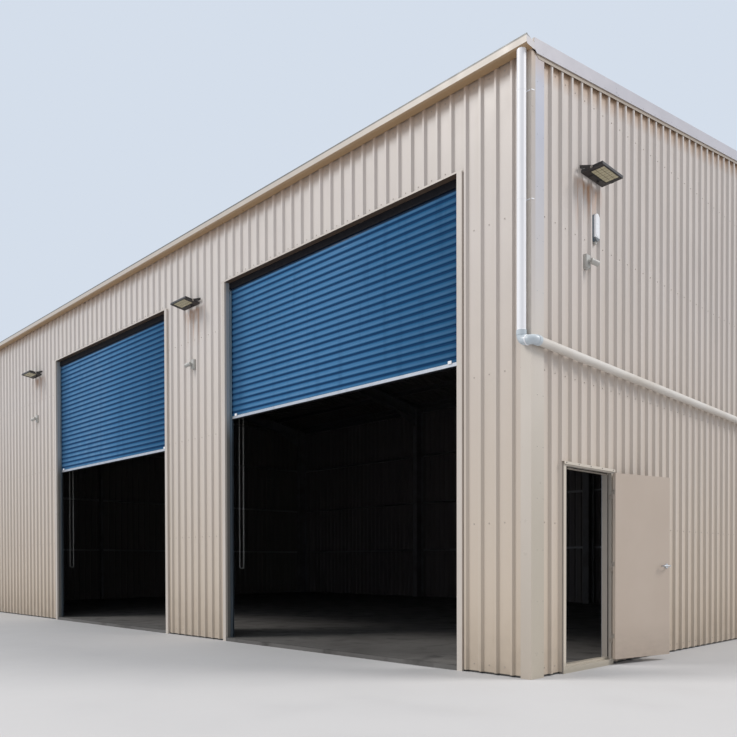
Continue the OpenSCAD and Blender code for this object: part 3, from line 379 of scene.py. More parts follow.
def cream_wall(name, outward, lamp_axis=None, lamps=()):
    paint = start_paint(name, CREAM, 0.4)
    tint(paint, band(paint, grain(paint, 0.55, 3.0), 0.42, 0.66, 0.0, 0.5), CREAM_PALE)
    rain = grain(paint, 1.0, 5.0, (7, 7, 0.35))
    tint(paint, band(paint, rain, 0.50, 0.78, 0.0, 0.30), CREAM_WASHED)
    height = coordinate(paint, "Z")
    if abs(outward.y) > 0.5:
        # A painted light: the long wall is painted paler away from its corner
        tint(paint, band(paint, coordinate(paint, "X"), 7.8, 3.5, 0.0, 0.85), CREAM_PAINTED_LIGHT)
        shade_under_edge = band(paint, height, 5.84, 6.00, 0.0, 0.60)
    else:
        shade_under_edge = shade_under_rake(paint)
    # Warmer and darker towards the bottom
    tint(paint, band(paint, height, 4.6, 0.4, 0.0, 0.75), CREAM_TOWARDS_FOOT)
    # Painted shade under the gutter of a long wall and under the raked edge of a gable
    tint(paint, shade_under_edge, SHADE_UNDER_ROOF_EDGE)
    low = band(paint, height, 1.1, 0.0)
    splash = times(paint, times(paint, low, low), grain(paint, 5.0, 6.0))
    tint(paint, times(paint, splash, 0.75), SPLASH)
    for centre, top in lamps:
        streaks_below(paint, lamp_axis, centre, top)
    gloss(paint, grain(paint, 3.0, 4.0), 0.30, 0.46)
    relief(paint, grain(paint, 1.4, 1.0, (1, 1, 0.5)), 0.25, 0.02)
    # Faces that look inwards: the thin wash coat, painted dark as a painted shade for the inside
    # of the shed
    tint(paint, facing_way(paint, outward, 0.03, -0.03), WASH_COAT_AND_SHADE)
    return paint


print("cream enamel ready")

# %% [markdown]
# Each wall gets its own paint from the same recipe, because each looks another way and only
# two of them carry floodlights. One paint for all could find its wall by the normal, but four
# plain ones are easier to read.

# %% One paint for each wall
GABLE_FLOOD_S, GABLE_FLOOD_Z = 1.078, 5.176
FRONT_FLOOD_S, FRONT_FLOOD_Z = (6.015, 12.050), 5.040
RUST_START = 0.03
front_rust = [(HALF_LENGTH - s, FRONT_FLOOD_Z - RUST_START) for s in FRONT_FLOOD_S]
gable_rust = [(GABLE_FLOOD_S - HALF_WIDTH, GABLE_FLOOD_Z - RUST_START)]
WALL_PAINTS = {
    "front": cream_wall("cream enamel, shutter wall", WALLS["front"][2], "X", front_rust),
    "right": cream_wall("cream enamel, door gable", WALLS["right"][2], "Y", gable_rust),
    "left": cream_wall("cream enamel, far gable", WALLS["left"][2]),
    "rear": cream_wall("cream enamel, rear wall", WALLS["rear"][2]),
}
SHEETS = {
    "front": ("corner_pier_cladding", "middle_pier_cladding", "left_bay_cladding",
              "header_cladding"),
    "right": ("right_corner_cladding", "door_head_cladding", "right_wall_cladding"),
    "left": ("left_wall_cladding",),
    "rear": ("rear_wall_cladding",),
}
print("wall paints:", [paint.name for paint in WALL_PAINTS.values()])

# %% [markdown]
# Flashings are folded from flat sheet, so they are a shade smoother than the walls. Gutters,
# sills and jambs share one paint, and its masks tell them apart by height, depth and the way
# a face looks. Undersides get a painted shade: dark, and brown under the gutter. The gutter's
# ends get a cool painted reflection of the sky. The reveals beside the shutters take on the
# blue of the guides, with a painted shade below the curtains, and the gutter's top edge is a
# dark line. A separate material for each fold would look the same, but it would need the
# solids cut up.

# %% Cream flashings
FLASHING, FLASHING_PALE = (0.56, 0.51, 0.46), (0.62, 0.57, 0.53)
FLASHING_HIGH = (0.520, 0.465, 0.405)
UNDERSIDE_SHADE = (0.115, 0.080, 0.058)
GUTTER_UNDERSIDE_SHADE = (0.400, 0.265, 0.145)
GUTTER_END_SKY_REFLECTION = (0.500, 0.480, 0.500)
GUTTER_LIP = (0.060, 0.062, 0.058)
GUTTER_Z = 5.95
REVEAL, REVEAL_SHADE_BELOW = (0.340, 0.375, 0.410), (0.165, 0.160, 0.150)
REVEAL_FRONT_Y, REVEAL_BACK_Y = -5.998, -5.700


def flashing_paint(name):
    paint = plain_paint(name, FLASHING, 0.34, FLASHING_PALE, 1.6, 0.0, (2, 2, 0.6))
    height = coordinate(paint, "Z")
    tint(paint, band(paint, height, GUTTER_Z, 6.02, 0.0, 0.7), FLASHING_HIGH)
    # Painted shade on faces that look down, brown under the gutter
    underside = facing_way(paint, (0, 0, -1))
    tint(paint, underside, UNDERSIDE_SHADE)
    gutter = maths(paint, "GREATER_THAN", height, GUTTER_Z)
    tint(paint, times(paint, underside, gutter), GUTTER_UNDERSIDE_SHADE)
    depth = coordinate(paint, "Y")
    inside = times(paint, maths(paint, "GREATER_THAN", depth, REVEAL_FRONT_Y),
                   maths(paint, "LESS_THAN", depth, REVEAL_BACK_Y))
    reveal = times(paint, facing_way(paint, (1, 0, 0)), inside)
    tint(paint, reveal, REVEAL)
    # Painted shade on the reveals below the curtains, where the shed is dark behind them
    tint(paint, times(paint, reveal, band(paint, height, 3.3, 2.9)), REVEAL_SHADE_BELOW)
    # A cool painted reflection of the sky on the gutter's ends
    ends = maths(paint, "MAXIMUM", facing_way(paint, (1, 0, 0)), facing_way(paint, (-1, 0, 0)))
    tint(paint, times(paint, ends, gutter), GUTTER_END_SKY_REFLECTION)
    tint(paint, band(paint, height, 6.090, 6.099, 0.0, 0.9), GUTTER_LIP)
    return paint


print("flashing paint ready")

# %% [markdown]
# The corner flashing is the wall's brightest line. Its gable leg carries a painted reflection
# of the cool sky high up and a warm, darker painted reflection of the pipe beside it. The whole
# flashing turns darker and warmer lower down, with a painted shade under the gutter. The door
# frame is brush painted and glossy, and its faces that look towards the front wall are painted
# in shade. Its roughness stays constant, because a varying one makes its narrow faces look
# dirty.

# %% Corner flashings and door frame
CORNER, CORNER_PALE = (0.580, 0.530, 0.475), (0.620, 0.570, 0.520)
CORNER_SKY = (0.450, 0.468, 0.550)
CORNER_PIPE_REFLECTION = (0.440, 0.390, 0.350)
CORNER_LOW = (0.430, 0.375, 0.315)
CORNER_LOW_GABLE = (0.440, 0.395, 0.325)
FRAME, FRAME_WORN = (0.58, 0.52, 0.44), (0.54, 0.48, 0.40)
FRAME_SILL, FRAME_SHADED = (0.360, 0.325, 0.265), (0.330, 0.300, 0.270)


def corner_paint(name):
    paint = plain_paint(name, CORNER, 0.34, CORNER_PALE, 1.6, 0.0, (2, 2, 0.6))
    height = coordinate(paint, "Z")
    gable = maths(paint, "MAXIMUM", facing_way(paint, (1, 0, 0), 0.8, 0.9),
                  facing_way(paint, (-1, 0, 0), 0.8, 0.9))
    upper = times(paint, gable, band(paint, height, 3.2, 5.4))
    tint(paint, upper, CORNER_SKY)
    from_middle = maths(paint, "ABSOLUTE", coordinate(paint, "Y"))
    # A warm, darker painted reflection of the pipe on the gable leg next to the arris
    tint(paint, times(paint, upper, band(paint, from_middle, 5.955, 5.975)), CORNER_PIPE_REFLECTION)
    # Darker and warmer towards the bottom
    tint(paint, band(paint, height, 2.6, 0.0, 0.0, 0.85), CORNER_LOW)
    lower = band(paint, height, 3.2, 1.4, 0.0, 0.85)
    tint(paint, times(paint, gable, lower), CORNER_LOW_GABLE)
    # Painted shade under the gutter
    tint(paint, band(paint, height, 5.75, 6.0, 0.0, 0.5), SHADE_UNDER_ROOF_EDGE)
    return paint


def frame_paint(name):
    paint = start_paint(name, FRAME, 0.28)
    tint(paint, band(paint, grain(paint, 1.2, 3.0), 0.42, 0.66, 0.0, 0.6), FRAME_WORN)
    tint(paint, band(paint, coordinate(paint, "Z"), 0.14, 0.02), FRAME_SILL)
    # Painted shade on the faces that look towards the front wall
    tint(paint, facing_way(paint, (0, -1, 0)), FRAME_SHADED)
    return paint


print("corner and frame paints ready")

# %% [markdown]
# Roof sheet weathers more than wall sheet, and its underside has the same wash coat, painted
# dark as a painted shade. The barge cap is a paler, cooler colour with a cream strip under it.
# The strip is painted darker as a painted shade, since it lies set back under the cap's face. A
# second material on it would need the solid cut in two, so its paint changes by how far out a
# face lies.

# %% Roof and barge caps
ROOF, ROOF_WORN = (0.490, 0.480, 0.465), (0.420, 0.405, 0.380)
BARGE, BARGE_PALE = (0.47, 0.46, 0.50), (0.52, 0.51, 0.56)
SHADED_UNDER_STRIP = (0.36, 0.30, 0.24)
STRIP_FROM_X, STRIP_TO_X = 9.028, 9.0405


def lined_roof(name):
    paint = plain_paint(name, ROOF, 0.42, ROOF_WORN, 1.2)
    # The underside, inside the shed, is the wash coat painted dark as a painted shade
    tint(paint, facing_way(paint, (0, 0, 1), 0.03, -0.03), WASH_COAT_AND_SHADE)
    relief(paint, grain(paint, 1.4, 1.0), 0.25, 0.02)
    return paint


def barge_paint(name):
    paint = plain_paint(name, BARGE, 0.34, BARGE_PALE, 1.5)
    reach = maths(paint, "ABSOLUTE", coordinate(paint, "X"))
    strip = times(paint, maths(paint, "LESS_THAN", reach, STRIP_TO_X),
                  maths(paint, "GREATER_THAN", reach, STRIP_FROM_X))
    # Painted shade: the set-back cream strip under the cap is painted darker
    tint(paint, strip, SHADED_UNDER_STRIP)
    return paint


print("roof paints ready")

# %% [markdown]
# On a roller shutter wear and dirt repeat with the slats, and so do the painted highlight and
# the painted shade of each bulge and groove. A wave texture could be tuned to their pitch, but
# its scale isn't in metres. The fraction of the height over the slat pitch keeps exact step,
# and a colour ramp then shapes it into any mask.

# %% Mask of the slats
SLAT_PITCH = 0.085
GROOVE_Z = 3.303


def by_slat(paint, stops):
    """A mask that repeats with the slats: 0 is the middle of a groove, 1 the next one up"""
    height = maths(paint, "SUBTRACT", coordinate(paint, "Z"), GROOVE_Z)
    phase = maths(paint, "FRACT", maths(paint, "DIVIDE", height, SLAT_PITCH))
    ramp = add_node(paint, "ValToRGB", {0: phase})
    points = ramp.color_ramp.elements
    while len(points) < len(stops):
        points.new(0.5)
    for point, (place, value) in zip(points, stops):
        point.position = place
        point.color = (value, value, value, 1)
    return ramp.outputs[0]


print("slat mask ready")

# %% [markdown]
# A shutter's blue enamel wears pale where the bulges rub as it rolls up, and dirt settles in
# the grooves. The pale band also carries a painted highlight on each bulge, and the dark band a
# painted shade in each groove. Scuffs run along the slats and dust runs down, so two noises are
# stretched those two ways. The far jamb and the head keep the curtain's edges in shade. The
# lamps alone don't make that shade dark enough, so a little of it is painted on.

# %% Shutter enamel
CURTAIN_FAR_EDGES = (3.835, -2.150)
BLUE = (0.016, 0.140, 0.315)
BLUE_WORN_AND_LIT = (0.110, 0.262, 0.480)
BLUE_SCUFFED = (0.050, 0.190, 0.390)
BLUE_DUSTY = (0.010, 0.075, 0.180)
GROOVE_DIRT_AND_SHADE = (0.0004, 0.024, 0.088)
EDGE_SHADE = (0.002, 0.026, 0.075)
HEAD_SHADE = (0.010, 0.020, 0.042)
SHADED_FROM_Z, SHADED_TO_Z = 5.040, 5.052


def shutter_paint(name):
    paint = start_paint(name, BLUE, 0.34)
    set_shine(paint, 0.12)
    # Pale wear and a painted highlight on each bulge
    wear_and_highlight = by_slat(paint, ((0.08, 0.0), (0.32, 0.9), (0.52, 0.35), (0.80, 0.0)))
    tint(paint, wear_and_highlight, BLUE_WORN_AND_LIT)
    scuffs = grain(paint, 1.0, 5.0, (5, 5, 30))
    tint(paint, band(paint, scuffs, 0.50, 0.80, 0.0, 0.55), BLUE_SCUFFED)
    dust = grain(paint, 1.0, 4.0, (9, 9, 0.8))
    tint(paint, band(paint, dust, 0.52, 0.80, 0.0, 0.35), BLUE_DUSTY)
    # Dirt and a painted shade in each groove
    dirt_and_shade = by_slat(paint, ((0.0, 0.97), (0.10, 0.75), (0.22, 0.05), (0.62, 0.05), (0.90, 0.92)))
    tint(paint, dirt_and_shade, GROOVE_DIRT_AND_SHADE)
    for edge in CURTAIN_FAR_EDGES:
        inset = maths(paint, "SUBTRACT", coordinate(paint, "X"), edge)
        shade = times(paint, band(paint, inset, 0.45, 0.0, 0.0, 0.6),
                      maths(paint, "GREATER_THAN", inset, -0.05))
        tint(paint, shade, EDGE_SHADE)
    head = band(paint, coordinate(paint, "Z"), SHADED_FROM_Z, SHADED_TO_Z, 0.0, 0.92)
    tint(paint, head, HEAD_SHADE)
    dull = maths(paint, "ADD", times(paint, grain(paint, 6.0, 5.0), 0.7), dirt_and_shade)
    gloss(paint, dull, 0.28, 0.75)
    return paint


print("shutter enamel ready")

# %% [markdown]
# The fittings are plastic or coated metal, and a colour, a cloud and a gloss are enough for
# most. Four need one thing more. The guides get a painted shade below the curtains, where the
# shed is dark behind them. The wall lamp's foot is grey, a powder coat is finely pitted, and
# the long pipe was painted over with a brush. Each is a plain paint with a band or a relief
# added, which is shorter than a recipe of its own.

# %% Fittings that need more than a colour
def guide_paint(name):
    paint = plain_paint(name, (0.120, 0.180, 0.240), 0.38, (0.080, 0.105, 0.130), 6.0)
    # Painted shade on the guides below the curtains
    shade_below_curtains = band(paint, coordinate(paint, "Z"), 3.3, 2.8, 0.0, 0.8)
    tint(paint, shade_below_curtains, (0.040, 0.048, 0.056))
    return paint


def lamp_cover_paint(name):
    paint = plain_paint(name, (0.84, 0.86, 0.90), 0.30, (0.78, 0.79, 0.80), 9.0)
    foot = band(paint, coordinate(paint, "Z"), 4.5905, 4.5895)
    tint(paint, foot, (0.150, 0.165, 0.175))
    return paint


def powder_coat(name):
    paint = plain_paint(name, (0.018, 0.017, 0.019), 0.46, (0.040, 0.036, 0.032), 20.0)
    relief(paint, grain(paint, 900.0, 2.0), 0.25, 0.0004)
    return paint


def brushed_pipe_paint(name):
    paint = plain_paint(name, (0.66, 0.63, 0.59), 0.40, (0.52, 0.46, 0.39), 6.0, 0.0,
                        (1, 0.3, 1))
    relief(paint, grain(paint, 60.0, 3.0), 0.20, 0.001)
    return paint


print("paints with an extra ready")

# %% [markdown]
# The record gives every piece a slot, which is the name of its finish. One table from slot to
# paint keeps all the finishes in sight. A paint made for each piece would do too, but then two
# gutters could drift apart in colour.

# %% Table of the paints
PAINTS = {
    "flashing": flashing_paint("cream folded flashing"),
    "roof_sheet": lined_roof("weathered roof enamel"),
    "barge": barge_paint("pale barge enamel"),
    "shutter_steel": shutter_paint("blue shutter enamel"),
    "guide_steel": guide_paint("blue-grey guide paint"),
    "door_frame_paint": frame_paint("gloss frame paint"),
    "pipe_white": plain_paint("white pipe plastic", (0.86, 0.87, 0.91), 0.36,
                              (0.78, 0.78, 0.80), 5.0, 0.0, (1, 1, 0.2)),
    "pipe_grey": plain_paint("pale grey fitting plastic", (0.52, 0.58, 0.63), 0.32,
                             (0.44, 0.49, 0.53), 8.0),
    "pipe_painted": brushed_pipe_paint("painted pipe"),
    "lamp_white": lamp_cover_paint("white moulded plastic"),
    "sensor_plastic": plain_paint("light grey plastic", (0.50, 0.50, 0.48), 0.42,
                                  (0.38, 0.36, 0.33), 14.0),
    "lamp_black": powder_coat("black powder coat"),
    "lamp_lens": plain_paint("diode board", (0.20, 0.175, 0.11), 0.22,
                             (0.15, 0.13, 0.08), 30.0),
    "hinge_steel": plain_paint("painted hinge", (0.330, 0.290, 0.250), 0.38,
                               (0.120, 0.100, 0.080), 40.0),
}
print("paints:", len(PAINTS))

# %% [markdown]
# Bare metals need more than a tint. Zinc shows its spangle, which is a cell pattern, so a
# Voronoi texture draws it. Mill-finish aluminium and brushed chrome carry fine lines along the
# way they were made, which a noise that is stretched hard gives. An anisotropic shader would
# do for chrome, but it needs tangents that the loose faces of these solids don't have.

# %% Zinc and drawn metal
def zinc(name, colour, dull):
    paint = start_paint(name, colour, 0.42, 0.85)
    wires = {"Vector": own_place(paint), "Scale": 55.0}
    cells = add_node(paint, "TexVoronoi", wires).outputs["Distance"]
    tint(paint, band(paint, cells, 0.1, 0.7, 0.0, 0.6), dull)
    gloss(paint, cells, 0.30, 0.55)
    return paint


def drawn_metal(name, colour, rough, stretch):
    paint = start_paint(name, colour, rough, 1.0)
    lines = grain(paint, 1.0, 3.0, stretch)
    gloss(paint, lines, rough * 0.75, rough * 1.3)
    relief(paint, lines, 0.15, 0.0003)
    dulled = [c * 0.6 for c in colour]
    tint(paint, band(paint, grain(paint, 12.0, 4.0), 0.5, 0.8, 0.0, 0.4), dulled)
    return paint


print("metals ready")

# %% [markdown]
# The slab is trowelled in clouds and cut in squares, so that it cracks where it is told to.
# The cuts could be real grooves in the mesh, but at 8 mm they are far below what shows from
# the doorway. A brick pattern with square bricks draws them, and a fine noise pits the rest.

# %% Concrete slab
SAW_CUT_SPACING = 3.0
SAW_CUT_WIDTH = 0.008
CONCRETE = (0.120, 0.115, 0.110)
CONCRETE_DAMP = (0.075, 0.070, 0.066)
STAINED = (0.030, 0.028, 0.026)
CUT_SHADE = (0.030, 0.028, 0.025)


def slab_paint(name):
    paint = start_paint(name, CONCRETE, 0.7)
    tint(paint, band(paint, grain(paint, 0.6, 6.0), 0.40, 0.70, 0.0, 0.7), CONCRETE_DAMP)
    stains = grain(paint, 2.6, 7.0)
    tint(paint, band(paint, stains, 0.55, 0.70, 0.0, 0.75), STAINED)
    wires = {"Vector": own_place(paint), "Scale": 1.0, "Mortar Size": SAW_CUT_WIDTH,
             "Brick Width": SAW_CUT_SPACING, "Row Height": SAW_CUT_SPACING}
    cuts = add_node(paint, "TexBrick", wires, offset=0.0)
    tint(paint, times(paint, cuts.outputs["Fac"], 0.9), CUT_SHADE)
    gloss(paint, stains, 0.48, 0.85)
    relief(paint, grain(paint, 140.0, 5.0), 0.35, 0.003)
    return paint


PAINTS["concrete"] = slab_paint("trowelled concrete")
print("saw cuts every", SAW_CUT_SPACING, "m")

# %% [markdown]
# The rest of the table: the zinc of girts and chains, the aluminium bar, the chrome lever and
# the primer of the frame. A few paints more are for small parts that only the scene has:
# screws, caps, rubber and a smoked lens. Rubber hardly shines, so its highlights are turned
# down.

# %% Metals, rubber and caps
PAINTS.update({
    "galvanised": zinc("spangled zinc", (0.34, 0.34, 0.35), (0.22, 0.22, 0.23)),
    "chain_steel": zinc("plated chain steel", (0.74, 0.73, 0.70), (0.48, 0.46, 0.43)),
    "aluminium_bar": drawn_metal("mill aluminium", (0.62, 0.63, 0.65), 0.34, (4, 400, 400)),
    "lever_metal": drawn_metal("satin chrome", (0.60, 0.61, 0.62), 0.22, (300, 300, 300)),
    "frame_steel": plain_paint("shop primer", (0.150, 0.150, 0.160), 0.6,
                               (0.09, 0.08, 0.07), 3.0),
})
screw_steel = zinc("screw steel", (0.48, 0.45, 0.41), (0.30, 0.28, 0.25))
screw_cream = plain_paint("cream screw caps", (0.43, 0.39, 0.35), 0.45, (0.34, 0.29, 0.24), 50.0)
rubber = plain_paint("black rubber", (0.008, 0.008, 0.011), 0.75, (0.018, 0.018, 0.020), 30.0)
set_shine(rubber, 0.15)
dark_lens = plain_paint("smoked lens", (0.020, 0.020, 0.024), 0.12, (0.03, 0.03, 0.035), 20.0)
print("paints:", len(PAINTS))

# %% [markdown]
# The door leaf is sprayed in the wall's colour but less glossy, and shoes mark its foot. The
# leaf's paint reads its own coordinates, so the marks stay on it when it swings.

# %% Door leaf paint
LEAF, LEAF_PALE = (0.470, 0.390, 0.325), (0.510, 0.430, 0.365)
SHOE_MARKS = (0.24, 0.19, 0.15)


def leaf_paint(name):
    paint = start_paint(name, LEAF, 0.40)
    tint(paint, band(paint, grain(paint, 1.6, 4.0), 0.42, 0.68, 0.0, 0.5), LEAF_PALE)
    foot = band(paint, coordinate(paint, "Z"), 0.45, 0.06)
    marks = times(paint, foot, grain(paint, 9.0, 6.0, (1, 1, 2.2)))
    tint(paint, times(paint, marks, 0.55), SHOE_MARKS)
    gloss(paint, grain(paint, 5.0, 4.0), 0.30, 0.48)
    relief(paint, grain(paint, 2.0, 1.0), 0.20, 0.01)
    return paint


PAINTS["door_paint"] = leaf_paint("satin leaf paint")
print("slots with a paint:", len(PAINTS))

# %% [markdown]
# The record names a slot for every node, so one loop can paint them all. The wall sheets and
# the corner flashings are the exceptions: they get the paint of their own wall or place.

# %% Paint every node and the floor
SLOT_OF = {part["node"]: part["material_slot"] for part in frame["record"]["subparts"]}
PAINT_OF = {name: PAINTS.get(slot) for name, slot in SLOT_OF.items()}
for wall, names in SHEETS.items():
    for name in names:
        PAINT_OF[name] = WALL_PAINTS[wall]
PAINT_OF["corner_flashings"] = corner_paint("corner enamel")
for name, node in nodes.items():
    node.data.materials.clear()
    node.data.materials.append(PAINT_OF[name])
studio_floor = plain_paint("studio floor", FLOOR_COLOUR[:3], 0.8, (0.48, 0.48, 0.49), 0.3)
floor_mesh.materials.append(studio_floor)
print("painted nodes:", len(PAINT_OF))

# %% [markdown]
# Small parts are made of blocks and rods with softened edges. A bmesh takes one shape after
# another, each with its own place, so a whole kind of part becomes one mesh, where separate
# objects would fill the list with hundreds. The last helper turns a bmesh into a piece: it
# gives the piece its paint and says which body it rides on.

# %% Blocks, rods and pieces
OUTWARDS = Matrix.Rotation(math.radians(-90), 4, "X")
ALONG = Matrix.Rotation(math.radians(90), 4, "Y")


def shift(x, y, z):
    return Matrix.Translation((x, y, z))


def block(bm, place, size):
    matrix = place @ Matrix.Diagonal((*size, 1))
    return bmesh.ops.create_cube(bm, size=1, matrix=matrix)["verts"]


def rod(bm, place, radius, length, sides=16, end_radius=None):
    end = radius if end_radius is None else end_radius
    return bmesh.ops.create_cone(bm, cap_ends=True, segments=sides, radius1=radius, radius2=end,
                                 depth=length, matrix=place)["verts"]


def ease(bm, verts, width, steps=2):
    """Takes the sharpness off every edge of the shape that these vertices belong to"""
    # A dict drops the doubles and keeps the edges in order
    edges = list(dict.fromkeys(edge for vert in verts for edge in vert.link_edges))
    bmesh.ops.bevel(bm, geom=edges, offset=width, offset_type="OFFSET", affect="EDGES",
                    segments=steps, profile=0.5, material=-1)


def finish_piece(name, bm, paint, body="building", smooth=False):
    for face in bm.faces:
        face.smooth = smooth
    mesh = bpy.data.meshes.new(name)
    bm.to_mesh(mesh)
    bm.free()
    mesh.materials.append(paint)
    piece = bpy.data.objects.new(name, mesh)
    bpy.context.scene.collection.objects.link(piece)
    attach(piece, body)
    return piece


print("shape tools ready")

# %% [markdown]
# Some parts repeat thousands of times, so each is drawn once as a pattern with few faces and
# stamped into one mesh per kind. Geometry nodes could scatter them, but a stamp needs no
# modifier and leaves a plain mesh. A part that sits on a sheet is dropped onto it: a ray goes in
# from outside, and where it lands gives the place and the way the surface faces. A second
# list names what may cover that place, so that no screw is put through a flashing.

# %% Stamps and drops
def pattern_of(bm, name):
    mesh = bpy.data.meshes.new(name)
    bm.to_mesh(mesh)
    bm.free()
    return mesh


def stamp(bm, pattern, places):
    for place in places:
        copy = pattern.copy()
        copy.transform(place)
        bm.from_mesh(copy)
        bpy.data.meshes.remove(copy)


def drop(names, covers, start, direction, reach):
    """The frame on the nearest face of the named nodes, or None where a cover is hit first"""
    landed = None
    for name in (*names, *covers):
        hit, place, normal, _ = nodes[name].ray_cast(start, direction, distance=reach)
        if hit and (landed is None or (place - start).length < (landed[1] - start).length):
            landed = (name, place, normal)
    if landed is None or landed[0] in covers:
        return None
    return Matrix.Translation(landed[1]) @ landed[2].to_track_quat("Z", "Y").to_matrix().to_4x4()


print("stamp tools ready")

# %% [markdown]
# A sheeting screw has a hexagon head over a round washer. A blind rivet, which holds one
# flashing to another, shows only a low dome. From the ground both are dots, so two short
# rods are enough for the one and a single tapered rod for the other.

# %% Screw and rivet
bm = bmesh.new()
rod(bm, shift(0, 0, 0.0008), 0.0075, 0.0016, 8)
rod(bm, shift(0, 0, 0.0036), 0.0048, 0.0040, 6)
screw_head = pattern_of(bm, "screw head")
bm = bmesh.new()
rod(bm, shift(0, 0, 0.0009), 0.0048, 0.0018, 8, 0.0020)
rivet_head = pattern_of(bm, "rivet head")
print("faces of a screw:", len(screw_head.polygons), "of a rivet:", len(rivet_head.polygons))

# %% [markdown]
# On walls a screw goes through the pan, mid-way between two ribs, into each girt. The rows of
# dots show where the girts run behind the sheet. The girt over the shutters is only there
# above the two openings. A list of typed places would be pages long and wrong after the first
# change, so two loops walk the ribs and the rows and drop each head onto the sheet.

# %% Wall screws
RIB_PITCH = 0.1905
FIRST_RIB = {"front": 0.204, "right": 0.341, "left": 0.341, "rear": 0.204}
WALL_LENGTH = {"front": 18.0, "right": 12.0, "left": 12.0, "rear": 18.0}
OPENINGS = ((0.880, 5.165), (6.865, 11.150))
HEAD_GIRT_Z = 5.235
GIRT_ROWS = (0.09, 1.525, 3.025, 4.525, HEAD_GIRT_Z, 5.975)
COVERS = ("corner_flashings", "shutter_trims", "door_frame", "wall_sensors", "wall_lamp")
RAY_OUT, RAY_LENGTH = 0.12, 0.20


def rib_count(wall):
    return int((WALL_LENGTH[wall] - FIRST_RIB[wall]) / RIB_PITCH)


for wall, names in SHEETS.items():
    outward = WALLS[wall][2]
    places = []
    for rib in range(-1, rib_count(wall) + 1):
        s = FIRST_RIB[wall] + RIB_PITCH * (rib + 0.5)
        over_opening = wall == "front" and any(near < s < far for near, far in OPENINGS)
        for z in GIRT_ROWS:
            if z == HEAD_GIRT_Z and not over_opening:
                continue
            landed = drop(names, COVERS, spot(wall, s, RAY_OUT, z), -outward, RAY_LENGTH)
            if landed:
                places.append(landed)
    bm = bmesh.new()
    stamp(bm, screw_head, places)
    finish_piece(wall + "_wall_screws", bm, screw_cream)
    print(wall, "wall screws:", len(places))

# %% [markdown]
# On a roof the screws go through the crests, where no water stands, into each purlin: through
# every second rib of the sheet, and through every fourth along both wings of the ridge cap.
# Their tilt could be worked out from the roof's pitch. Rays that come straight down need no
# sum, because the surface itself says which way it faces.

# %% Roof screws
PURLIN_FIRST, PURLIN_STEP, PURLINS = 0.2325, 1.1239, 6
SHEET_CREST_STEP, CAP_CREST_STEP = 2, 4
CAP_SCREW_Y = 0.16
ABOVE_ROOF, ROOF_REACH = 8.0, 3.0
ROOF_COVERS = ("ridge_cap", "right_barge_cap", "left_barge_cap")


def drop_on_crest(names, covers, rib, y):
    x = -HALF_LENGTH + FIRST_RIB["front"] + RIB_PITCH * rib
    return drop(names, covers, Vector((x, y, ABOVE_ROOF)), -UP, ROOF_REACH)


for side, node in ((-1, "front_roof"), (1, "rear_roof")):
    places = []
    for row in range(PURLINS):
        y = side * (HALF_WIDTH - (PURLIN_FIRST + PURLIN_STEP * row) * math.cos(ROOF_PITCH))
        for rib in range(0, rib_count("front") + 1, SHEET_CREST_STEP):
            places.append(drop_on_crest((node,), ROOF_COVERS, rib, y))
    for rib in range(2, rib_count("front"), CAP_CREST_STEP):
        places.append(drop_on_crest(("ridge_cap",), (), rib, side * CAP_SCREW_Y))
    places = [place for place in places if place]
    bm = bmesh.new()
    stamp(bm, screw_head, places)
    finish_piece(node + "_screws", bm, screw_steel)
    print(node, "screws:", len(places))

# %% [markdown]
# Rivets run in lines: up both legs of every corner flashing, up and across the trims of the
# shutter openings, and along the barge caps. Each line is a loop that drops a ray at even
# steps, and whatever misses its flashing is left out.

# %% Flashing rivets
HEAD_Z = 5.175
RIVET_STEP, CAP_RIVET_STEP = 0.5, 0.3
CORNER_RIVETS, TRIM_RIVETS, HEAD_RIVETS, CAP_RIVETS = 12, 10, 12, 40
CORNER_RIVET_S, CORNER_RIVET_Z, CORNER_REACH = (0.070, 0.170), 0.25, 0.095
TRIM_MIDDLE, TRIM_RIVET_Z, HEAD_TRIM_RISE = 0.033, 0.2, 0.007
CAP_RIVET_Y, CAP_RIVET_DROP, PAST_CAP_X, CAP_REACH = -5.85, 0.085, 9.2, 0.3

places = []
for wall, (_, _, outward) in WALLS.items():
    for s in (*CORNER_RIVET_S, WALL_LENGTH[wall] - CORNER_RIVET_S[0]):
        for step in range(CORNER_RIVETS):
            start = spot(wall, s, RAY_OUT, CORNER_RIVET_Z + RIVET_STEP * step)
            places.append(drop(("corner_flashings",), (), start, -outward, CORNER_REACH))
for near, far in OPENINGS:
    for step in range(TRIM_RIVETS):
        for s in (near - TRIM_MIDDLE, far + TRIM_MIDDLE):
            start = spot("front", s, RAY_OUT, TRIM_RIVET_Z + RIVET_STEP * step)
            places.append(drop(("shutter_trims",), (), start, Vector((0, 1, 0)), RAY_LENGTH))
    for step in range(HEAD_RIVETS):
        s = near + (far - near) * (step + 0.5) / HEAD_RIVETS
        start = spot("front", s, RAY_OUT, HEAD_Z + HEAD_TRIM_RISE)
        places.append(drop(("shutter_trims",), (), start, Vector((0, 1, 0)), RAY_LENGTH))
for cap, way in (("right_barge_cap", 1), ("left_barge_cap", -1)):
    for step in range(CAP_RIVETS):
        y = CAP_RIVET_Y + CAP_RIVET_STEP * step
        z = EAVE_Z + (HALF_WIDTH - abs(y)) * math.tan(ROOF_PITCH) - CAP_RIVET_DROP
        start = Vector((way * PAST_CAP_X, y, z))
        places.append(drop((cap,), (), start, Vector((-way, 0, 0)), CAP_REACH))
places = [place for place in places if place]
bm = bmesh.new()
stamp(bm, rivet_head, places)
finish_piece("flashing_rivets", bm, PAINTS["flashing"])
print("rivets:", len(places))

